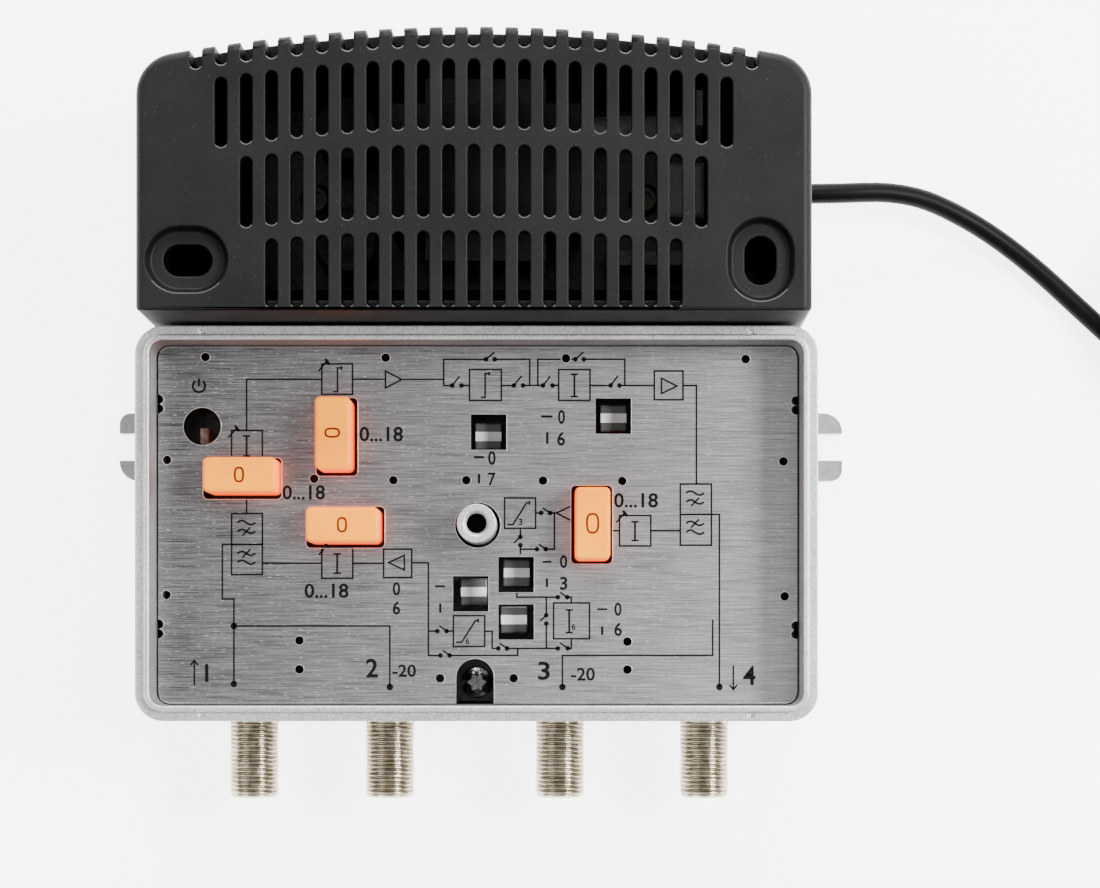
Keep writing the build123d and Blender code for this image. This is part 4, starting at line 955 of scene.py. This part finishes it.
# %% Wound threads
starts = [(x, y - thread_start - thread_gap, z) for x, y, z in backs]
thread_length = barrel_length - thread_start - 2 * thread_gap - tip_chamfer
sizes = {"Pitch": thread_pitch, "Length": thread_length, "Radius": root_radius, "Ridge": thread_depth}
ridges = thread.run(points_mesh("thread_starts", starts), finishes["nickel"], {**sizes, "Turn": side_turn})
finished("barrel_threads", ridges, finishes["nickel"])
axis_x, _, axis_z = backs[0]
offsets = [(corner.co.x - axis_x, corner.co.z - axis_z) for corner in ridges.vertices]
reach = max(math.hypot(*offset) for offset in offsets if abs(offset[0]) < 2 * barrel_radius)
print("thread outer radius", round(reach / MM, 2), "mm, faces", len(ridges.polygons))

# %% Board screws
screws = solids_of("board_screws")
screw_low, screw_high = screws[0]
head_radius = (screw_high.x - screw_low.x) / 2
head_height = 2.3 * MM
screw_radius = 1.4 * MM
dome = 0.75 * MM
recess_radius = 1.5 * MM
recess_depth = 1.3 * MM
recess_lip = 0.12 * MM
lobe = 0.17
edge_radius = 0.25 * MM


def dome_height(radius):
    """Height of the domed head at a radius."""
    return head_height - dome * (radius / head_radius) ** 2


lip_height = dome_height(recess_radius)
screw_rings = [
    (recess_radius * 0.3, head_height - recess_depth, 0.0),
    (recess_radius * 0.94, head_height - recess_depth, lobe),
    (recess_radius, lip_height - recess_lip, lobe),
    (recess_radius + recess_lip, lip_height, lobe),
]
for share in (0.66, 0.74, 0.84, 0.94):
    screw_rings.append((head_radius * share, dome_height(head_radius * share), 0.0))
screw_rings += [
    (head_radius, dome_height(head_radius) - edge_radius, 0.0),
    (head_radius, edge_radius, 0.0),
    (head_radius - edge_radius, 0.0, 0.0),
    (screw_radius, 0.0, 0.0),
    (screw_radius, screw_low.z - screw_high.z + head_height, 0.0),
]
seats = [((low.x + high.x) / 2, (low.y + high.y) / 2, high.z - head_height) for low, high in screws]
heads = stamped("screw_seats", turned("board_screw", screw_rings), seats, finishes["black_screw"])
finished("lobed_screws", heads, finishes["black_screw"], instead=("board_screws",), smooth=35)
print("screws", len(seats), "faces", len(heads.polygons))

# %% [markdown]
# ## Bright edges and painted highlights
# The windows stamped into the plate have a bright cut edge, and the black cover gets a painted highlight, a pale
# bead, where its slots end. Both are thin beads swept along edges, which a recipe picks by their angle, their height
# and the way they face.

# %% Bright cut edges
plate_beads = {
    "Radius": 0.1 * MM,
    "Inset": 0.0,
    "Above": plate_top - 0.01 * MM,
    "Half": plate_high.x - 0.4 * MM,
    "Facing": -2.0,
}
beads_on("face_plate", "cut_edges", burr_metal, plate_beads)

# %% Painted highlights at the ends of the slots
# Painted highlight: pale beads on the slot ends that face the far light.
rubbed_plastic = moulded("rubbed_plastic", (0.03, 0.03, 0.031), (0.07, 0.07, 0.072), 0.5)
slot_beads = {
    "Radius": 0.15 * MM,
    "Inset": 0.2 * MM,
    "Above": 52.5 * MM,
    "Half": 58.0 * MM,
    "Facing": 0.36,
}
beads_on("power_cover", "rubbed_edges", rubbed_plastic, slot_beads)

# %% [markdown]
# ## Print on the plate
# The plate carries a block diagram of the circuit: amplifiers as triangles, attenuators as a capital I, slopes and
# steps as lines, filters as waves, and a switch for each plug. Only plain numbers and circuit symbols are printed.
# The places are pixels of the photograph, read off once, and `on_plate` turns them into places on the plate.

# %% Wires
wires = [
    # From the input through its filter and pad to the first amplifier.
    [(231.6, 544.4), (222.4, 544.4), (222.4, 599), (233.9, 599), (233.9, 684)],
    [(233.9, 626), (389.8, 626), (389.8, 687)], [(246.6, 497.5), (246.6, 513.6)],
    [(231.6, 456), (231.6, 430.5), (262.4, 430.5), (262.4, 456)], [(246.6, 430.5), (246.6, 379.3), (321.8, 379.3)],
    [(352.5, 379.3), (385.5, 379.3)], [(401.8, 379.4), (443.7, 379.4)],
    # Two blocks in a row, each with its bypass.
    [(452.3, 385.5), (443.7, 385.5), (443.7, 359.3), (486, 359.3)], [(494.6, 359.3), (529.7, 359.3), (529.7, 385.5)],
    [(461.4, 385.5), (469.5, 385.5)], [(501.3, 385.5), (513.9, 385.5)], [(523, 385.5), (543.1, 385.5)],
    [(537.8, 385.5), (537.8, 359.3), (560.8, 359.3)], [(571, 359.3), (575.3, 359.3)],
    [(583.8, 359.3), (624.8, 359.3), (624.8, 385.5)], [(552.5, 385.5), (558.7, 385.5)],
    [(590, 385.5), (610.6, 385.5)], [(619.5, 385.5), (654.3, 385.5)],
    # The output stage, its filter and its tap.
    [(683, 385.5), (696.4, 385.5), (696.4, 484.1)], [(711.4, 514.4), (719.4, 514.4), (719.4, 687)],
    [(562.4, 687), (562.4, 655.4), (712.7, 655.4), (712.7, 619.5)],
    # The way back from the output.
    [(262.4, 563.3), (321.8, 563.3)], [(352.8, 563.3), (383.6, 563.3)],
    [(411.7, 562.8), (428.4, 562.8), (428.4, 655.4), (440.5, 655.4)], [(428.4, 631.1), (437.4, 631.1)],
    # The slope, its bypass and the two trunks below.
    [(446.6, 631.1), (453.4, 631.1)], [(449.7, 655.4), (517.7, 655.4), (517.7, 648.4)],
    [(484.7, 631.3), (492.2, 631.3), (492.2, 648.4), (498.4, 648.4)], [(507, 648.4), (557.9, 648.4)],
    [(567.8, 648.4), (571.3, 648.4), (571.3, 638.8)], [(571.3, 602.9), (571.3, 597.2), (567.2, 597.2)],
    [(516.9, 592), (516.9, 597.2), (557.9, 597.2)], [(546.3, 597.2), (546.3, 615.2)],
    [(546.3, 623.5), (546.3, 648.4)],
    # The splitter, the upper slope and the output pad.
    [(571.5, 505.8), (556.5, 513), (571.5, 520.8)], [(550.1, 513), (556.5, 513)], [(535.6, 513), (541.3, 513)],
    [(554.4, 513), (554.4, 549.2), (545.8, 549.2)], [(537, 549.2), (520.4, 549.2)], [(520.4, 528.3), (520.4, 536.9)],
    [(520.4, 545.2), (520.4, 554.3)], [(611.7, 530.7), (619.5, 530.7)], [(650.8, 530.7), (680.3, 530.7)],
]
print("wires", len(wires))

# %% Blocks and switches
blocks = {
    "input step": (321.8, 363.8, 352.5, 394.3),
    "first block": (469.5, 369.5, 501.3, 400.5),
    "second block": (558.7, 369.5, 590, 400.5),
    "output stage": (654.3, 371, 683, 399.7),
    "output filter high": (680.3, 484.1, 711.4, 514.4),
    "output filter low": (680.3, 514.4, 711.4, 545.2),
    "input filter high": (231.6, 513.6, 262.4, 544.4),
    "input filter low": (231.6, 544.4, 262.4, 574.6),
    "return attenuator": (321.8, 548, 352.8, 578.3),
    "return amplifier": (383.6, 549.2, 411.7, 577.6),
    "lower slope": (453.4, 615.7, 484.7, 646.5),
    "upper slope": (504.6, 498, 535.6, 528.3),
    "lower attenuator": (553.6, 602.9, 589.5, 638.8),
    "output attenuator": (619.5, 515.5, 650.8, 546),
}
triangles = [
    [(385.5, 371.1), (385.5, 388), (401.8, 379.5)], [(661.5, 378.3), (661.5, 393.6), (677, 386)],
    [(404.3, 555.3), (404.3, 570), (388.6, 562.6)],
]
switches = [
    ((486, 359.3), (494.6, 359.3), (8.4, -7)), ((452.3, 385.5), (461.4, 385.5), (7.2, -9.3)),
    ((513.9, 385.5), (523, 385.5), (7.8, -9.7)), ((575.3, 359.3), (583.8, 359.3), (8, -7.2)),
    ((543.1, 385.5), (552.5, 385.5), (7.2, -9.3)), ((610.6, 385.5), (619.5, 385.5), (7.2, -9.5)),
    ((550.1, 513), (541.3, 513), (-7.4, -5.1)), ((545.8, 549.2), (537, 549.2), (-7, -4.9)),
    ((520.4, 536.9), (520.4, 545.2), (-6.4, 5.9)), ((567.2, 597.2), (557.9, 597.2), (-7.2, -4.9)),
    ((546.3, 615.2), (546.3, 623.5), (-6.3, 6)), ((567.8, 648.4), (557.9, 648.4), (-7.6, -5.6)),
    ((507, 648.4), (498.4, 648.4), (-7.6, -5.3)), ((449.7, 655.4), (440.5, 655.4), (-7, -5.1)),
    ((446.6, 631.1), (437.4, 631.1), (-7.2, -5.3)),
]
print("blocks", len(blocks), "triangles", len(triangles), "switches", len(switches))

# %% Joints, signs, keys and numbers
joints = [(233.9, 626), (233.9, 684), (389.8, 687), (562.4, 687), (719.4, 687)]
attenuators = [
    (246.6, 436, 456), (574.4, 374.3, 396.6), (337.2, 553.9, 573.2), (635, 521.7, 540.6), (569.2, 610, 632.6),
]
steps_up = ["input step", "first block"]
slopes = ["upper slope", "lower slope"]
adjusted = [(321.8, 363.8), (231.6, 430.5), (321.8, 548), (619.5, 515.5)]
waves = {"output filter high": 0, "output filter low": 1, "input filter high": 0, "input filter low": 1}
keys = [(541.3, 552.7, 416.5), (474, 484, 457.2), (542.7, 551.4, 561.8), (435, 445, 586.3), (597.3, 607.3, 609.2)]
ticks = [(547.3, 432.1, 443.8), (479, 474, 483.5), (546.9, 578.3, 587.3), (440.3, 603.5, 612.7), (602.2, 626.4, 635)]
bold_keys = 2
numbers = [
    ("0", (558, 409.8, 565, 424)), ("6", (557.2, 431.7, 565, 445.7)), ("0", (488.1, 451, 495.7, 465)),
    ("7", (488.1, 472.6, 495.7, 485.8)), ("0...18", (282.5, 485.2, 325, 499.5)),
    ("0...18", (359.5, 426.6, 403, 441.6)), ("0...18", (304.5, 583.4, 348.5, 598)),
    ("0...18", (614, 492.9, 658, 507.7)), ("0", (392.7, 582, 400.2, 595.6)), ("6", (392.7, 601, 400.2, 614.6)),
    ("0", (559.9, 555.1, 567.2, 568.2)), ("3", (559.9, 576.6, 567.4, 590)), ("0", (614.3, 602.4, 621.6, 616)),
    ("6", (614.3, 622.4, 622, 636)), ("6", (465.6, 637.6, 469.4, 644)), ("3", (518.5, 518.6, 522.6, 525.2)),
    ("6", (571.6, 623.4, 575.6, 630)), ("-20", (392.5, 664.5, 416, 677)), ("-20", (571, 667.6, 595, 680.8)),
    ("1", (205, 664, 208.4, 682)), ("2", (366, 658.5, 378, 677.5)), ("3", (538, 661.5, 550, 680)),
    ("4", (743, 666, 755.5, 685)),
]
arrows = [((194.3, 685), (194.3, 660.5)), ((733.3, 665.5), (733.3, 689.5))]
mains_mark = (199, 386)

# %% Strips of ink
thin = 0.3 * MM
bold = 0.44 * MM
ink_height = 0.03 * MM
shortest_mitre = 0.3


def across(way):
    """The level direction square to a way."""
    return Vector((-way.y, way.x, 0.0))


def ribbon(shell, points, width, base, closed=False):
    """A flat strip along points, mitred at its corners, with its underside at the base."""
    count = len(points)
    rows = []
    for at, point in enumerate(points):
        ways = []
        if closed or at > 0:
            ways.append((point - points[at - 1]).normalized())
        if closed or at < count - 1:
            ways.append((points[(at + 1) % count] - point).normalized())
        side = across(sum(ways, Vector()).normalized())
        reach = width / 2 / max(side.dot(across(ways[0])), shortest_mitre)
        edges = (point - side * reach, point + side * reach)
        rows.append([shell.verts.new((edge.x, edge.y, z)) for z in (base, base + ink_height) for edge in edges])
    pairs = list(zip(rows, rows[1:])) + ([(rows[-1], rows[0])] if closed else [])
    for first, second in pairs:
        for one, other in ((0, 1), (1, 3), (3, 2), (2, 0)):
            shell.faces.new((first[one], first[other], second[other], second[one]))
    if not closed:
        for row in (rows[0], rows[-1]):
            shell.faces.new((row[0], row[1], row[3], row[2]))


def line(shell, places, width=thin, closed=False):
    """A strip through pixels of the photograph."""
    ribbon(shell, [on_plate(*place) for place in places], width, plate_top, closed)


def moved(place, steps):
    """The places that lie at those steps, in pixels, from one place."""
    return [(place[0] + right, place[1] + down) for right, down in steps]


print("ribbons ready")

# %% Signs
# Each sign is drawn in the photograph's pixels, from the upper left corner of its block or from its own middle.
step_sign = [(11.2, 27.9), (15.7, 27.9), (15.7, 4.1), (19.8, 4.1)]
slope_sign = [(2.8, 26.5), (8.3, 26.5), (22.1, 4.8), (24.9, 4.8)]
adjust_sign = [(-3.2, 7), (5.4, -2.8)]
adjust_bar = [(3.5, -4.9), (7.8, 0.7)]
bar_half = 2
serif_half = 3.7
arrow_head = [(-3.8, 4.6), (0, 0), (3.8, 4.6)]
wave_left = 5.8
wave_length = 18
wave_swing = 2
wave_heights = (9, 17.8)
slash = [(-4, 4.2), (4, -4.2)]
wave_steps = 16
bar_width = thin * 1.2
adjust_width = thin * 1.5
wave_width = thin * 1.15
tick_width = thin * 1.4
mark_width = thin * 1.3
ring_radius = 6.2
ring_gap = math.radians(38)
stroke_top = ring_radius * 1.25
print("lines", [round(width / MM, 2) for width in (thin, wave_width, bar_width, tick_width, bold)], "mm")

# %% Drawing


def draw_wires(shell):
    """Wires, the outlines of blocks and amplifiers, and the arms of switches."""
    for places in wires:
        line(shell, places)
    for left, top, right, bottom in blocks.values():
        line(shell, [(left, top), (right, top), (right, bottom), (left, bottom)], closed=True)
    for corners in triangles:
        line(shell, corners, closed=True)
    for pivot, _, arm in switches:
        line(shell, moved(pivot, [(0, 0), arm]))


def draw_signs(shell):
    """What stands in the blocks: capital Is, steps, slopes and the arrows of what can be set."""
    for x, top, bottom in attenuators:
        line(shell, [(x, top), (x, bottom)], bar_width)
        for y in (top, bottom):
            line(shell, [(x - serif_half, y), (x + serif_half, y)])
    for signs, sign in ((steps_up, step_sign), (slopes, slope_sign)):
        for name in signs:
            places = moved(blocks[name][:2], sign)
            line(shell, places)
            line(shell, moved(places[-1], [(0, -bar_half), (0, bar_half)]))
    for corner in adjusted:
        line(shell, moved(corner, adjust_sign))
        line(shell, moved(corner, adjust_bar), adjust_width)


def draw_waves(shell):
    """Two waves in each filter's block, the one that the filter stops struck through."""
    for name, passed in waves.items():
        left, top = blocks[name][:2]
        for row, down in enumerate(wave_heights):
            wave = []
            for step in range(wave_steps + 1):
                swing = wave_swing * math.sin(2 * math.pi * step / wave_steps)
                wave.append((wave_left + wave_length * step / wave_steps, down - swing))
            line(shell, moved((left, top), wave), wave_width)
            if row != passed:
                line(shell, moved((left + wave_left + wave_length / 2, top + down), slash))


def draw_keys(shell):
    """The small Ts beside the jumpers, and the arrows at the ports."""
    for at, (left, right, y) in enumerate(keys):
        line(shell, [(left, y), (right, y)], bold if at < bold_keys else wave_width)
    for at, (x, top, bottom) in enumerate(ticks):
        line(shell, [(x, top), (x, bottom)], bold if at < bold_keys else tick_width)
    for tail, tip in arrows:
        line(shell, [tail, tip])
        turn = 1 if tail[1] > tip[1] else -1
        line(shell, moved(tip, [(right, down * turn) for right, down in arrow_head]))


def draw_mains_mark(shell):
    """The common sign for power: an open ring with a stroke in its gap."""
    bend = 2 * (math.pi - ring_gap) / wave_steps
    angles = [ring_gap + bend * step for step in range(wave_steps + 1)]
    ring = [(ring_radius * math.sin(angle), -ring_radius * math.cos(angle)) for angle in angles]
    line(shell, moved(mains_mark, ring), mark_width)
    line(shell, moved(mains_mark, [(0, -stroke_top), (0, 0)]), mark_width)


ink_shell = bmesh.new()
for draw in (draw_wires, draw_signs, draw_waves, draw_keys, draw_mains_mark):
    draw(ink_shell)
finished("diagram_lines", mesh_of(ink_shell, "diagram_lines"), print_black)

# %% Dots and numbers
joint_dot = 0.62 * MM
switch_dot = 0.44 * MM
dot_edge = 0.02 * MM
dot_steps = 24
digit_swell = 0.018
digit_depth = 0.5
digit_curve = 3


def dots(name, places, radius):
    """Small printed discs, one on each place."""
    disc = turned("disc", [(radius, 0.0, 0.0), (radius - dot_edge, ink_height, 0.0)], dot_steps)
    spots = [on_plate(*place) + Vector((0.0, 0.0, plate_top)) for place in places]
    return finished(name, stamped(name, disc, spots, print_black), print_black)


def number(text, place):
    """Printed digits that fill a place given by its left, top, right and bottom pixel."""
    data = bpy.data.curves.new("number", "FONT")
    data.body = text
    data.extrude = digit_depth
    data.offset = digit_swell
    data.resolution_u = digit_curve
    mesh = settled(holder("number", data))
    low, high = span(mesh.vertices)
    start = on_plate(place[0], place[3])
    end = on_plate(place[2], place[1])
    for corner in mesh.vertices:
        share = [(corner.co[axis] - low[axis]) / (high[axis] - low[axis]) for axis in range(3)]
        x = start.x + (end.x - start.x) * share[0]
        y = start.y + (end.y - start.y) * share[1]
        corner.co = (x, y, plate_top + ink_height * share[2])
    return mesh


dots("joint_dots", joints, joint_dot)
dots("switch_dots", [end for switch in switches for end in switch[:2]], switch_dot)
number_shell = bmesh.new()
for text, place in numbers:
    mesh = number(text, place)
    number_shell.from_mesh(mesh)
    bpy.data.meshes.remove(mesh)
finished("printed_numbers", mesh_of(number_shell, "printed_numbers"), print_black)
print("numbers", [text for text, _ in numbers])

# %% [markdown]
# ## Marks on the plugs
# A white stripe across each jumper shows which way round it sits. Each orange pad carries the digit 0 in red, and
# pad 2 lies turned, so its digit does too. The marks ride on their plugs, so they leave with them.

# %% Stripes and digits
stripe_width = 1.72 * MM
stripe_inset = 0.16 * MM
digit_stroke = 0.36 * MM
digit_sizes = {"pad_1": (1.5, 2.5), "pad_2": (2.5, 1.5), "pad_3": (1.5, 2.45), "pad_4": (2.05, 3.4)}
digit_points = 28
digit_squareness = 0.72


def stripe_on(cap):
    """A painted bar across the middle of a jumper's cap."""
    low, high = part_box(cap)
    shell = bmesh.new()
    middle = (low.y + high.y) / 2
    ends = [Vector((x, middle, 0.0)) for x in (low.x + stripe_inset, high.x - stripe_inset)]
    ribbon(shell, ends, stripe_width, high.z)
    return mesh_of(shell, cap + "_stripe")


def digit_on(case, width, height):
    """A nought drawn as one stroke round a squarish oval."""
    low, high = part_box(case)
    shell = bmesh.new()
    middle = (low + high) / 2
    points = []
    for step in range(digit_points):
        angle = 2 * math.pi * step / digit_points
        reach = [math.copysign(abs(part) ** digit_squareness, part) for part in (math.cos(angle), math.sin(angle))]
        points.append(Vector((middle.x + reach[0] * width / 2, middle.y + reach[1] * height / 2, 0.0)))
    ribbon(shell, points, digit_stroke, high.z, closed=True)
    return mesh_of(shell, case + "_digit")


for name in sorted(frame["bodies"]):
    if name.startswith("jumper_"):
        finished(name + "_stripe", stripe_on(name + "_cap"), stripe_white, name)
    elif name.startswith("pad_"):
        width, height = digit_sizes[name]
        finished(name + "_digit", digit_on(name + "_case", width * MM, height * MM), pad_red, name)

# %% [markdown]
# ## Floor and light
# The floor glows like a light table, but not under the object, where its glow would pale the dark flanks. A soft box
# on the right throws the shadows to the left of the pads, a weak one on the left fills them, and one above the far
# edge lights the housing's roof. The sky is dimmer in front than behind and above.

# %% Floor
dark_side = 61 * MM
dark_front = 50 * MM
dark_back = 67 * MM
soft_edge = 4 * MM
floor_glow = 4.5
floor_half = 3.0


def pale_floor():
    """Pale paper on a light table, a touch uneven, and unlit where the object stands on it."""
    finish = Finish("floor_paper", grey(0.9), 0.8, 0.0, {"Emission Strength": floor_glow})
    cloud = finish.grain(180 * MM, detail=2.0)
    beside = finish.along("X").away().between(dark_side - soft_edge, dark_side)
    behind = finish.along("Y").between(dark_back - soft_edge, dark_back)
    before = (0 - finish.along("Y")).between(dark_front - soft_edge, dark_front)
    finish.give({"Emission Color": finish.mix((beside + behind + before).kept(), grey(0.0), grey(1.0))})
    return finish.paint(finish.mix(cloud, grey(0.88), grey(0.92)), 0.75 + cloud * 0.1)


floor_mesh = bpy.data.meshes.new("floor")
floor_corners = [(x * floor_half, y * floor_half, 0) for x, y in ((-1, -1), (1, -1), (1, 1), (-1, 1))]
floor_mesh.from_pydata(floor_corners, [], [(0, 1, 2, 3)])
floor_mesh.materials.append(pale_floor())
floor = holder("floor", floor_mesh)
print("floor", 2 * floor_half, "m")

# %% Lights
aim = Vector((0.0, 0.0, 0.02))


def soft_box(name, place, size, power):
    """A square soft light aimed at the middle of the object."""
    data = bpy.data.lights.new(name, "AREA")
    data.shape = "SQUARE"
    data.size = size
    data.energy = power
    light = holder(name, data)
    light.location = place
    light.rotation_euler = (aim - Vector(place)).to_track_quat("-Z", "Y").to_euler()


soft_box("right_box", (0.85, 0.15, 0.95), 0.4, 31.0)
soft_box("left_box", (-1.1, -0.3, 1.2), 0.9, 7.0)
soft_box("far_box", (0.05, 1.2, 0.75), 0.6, 36.0)
print("lights", len(bpy.data.lights))

# %% Sky
sky_strength = 0.75
front_grey = grey(0.1)
world = bpy.data.worlds.new("studio")
world.use_nodes = True
sky = Sheet(world.node_tree)
_, back, up = sky.parts(sky.put("ShaderNodeTexCoord").outputs["Generated"])
dim_front = sky.mix((back * 0.6 + up * 0.8).between(-0.6, 0.5), front_grey, grey(1.0))
backdrop = world.node_tree.nodes["Background"]
sky.feed(backdrop.inputs["Color"], dim_front)
sky.feed(backdrop.inputs["Strength"], sky_strength)
bpy.context.scene.world = world
print("sky strength", sky_strength)
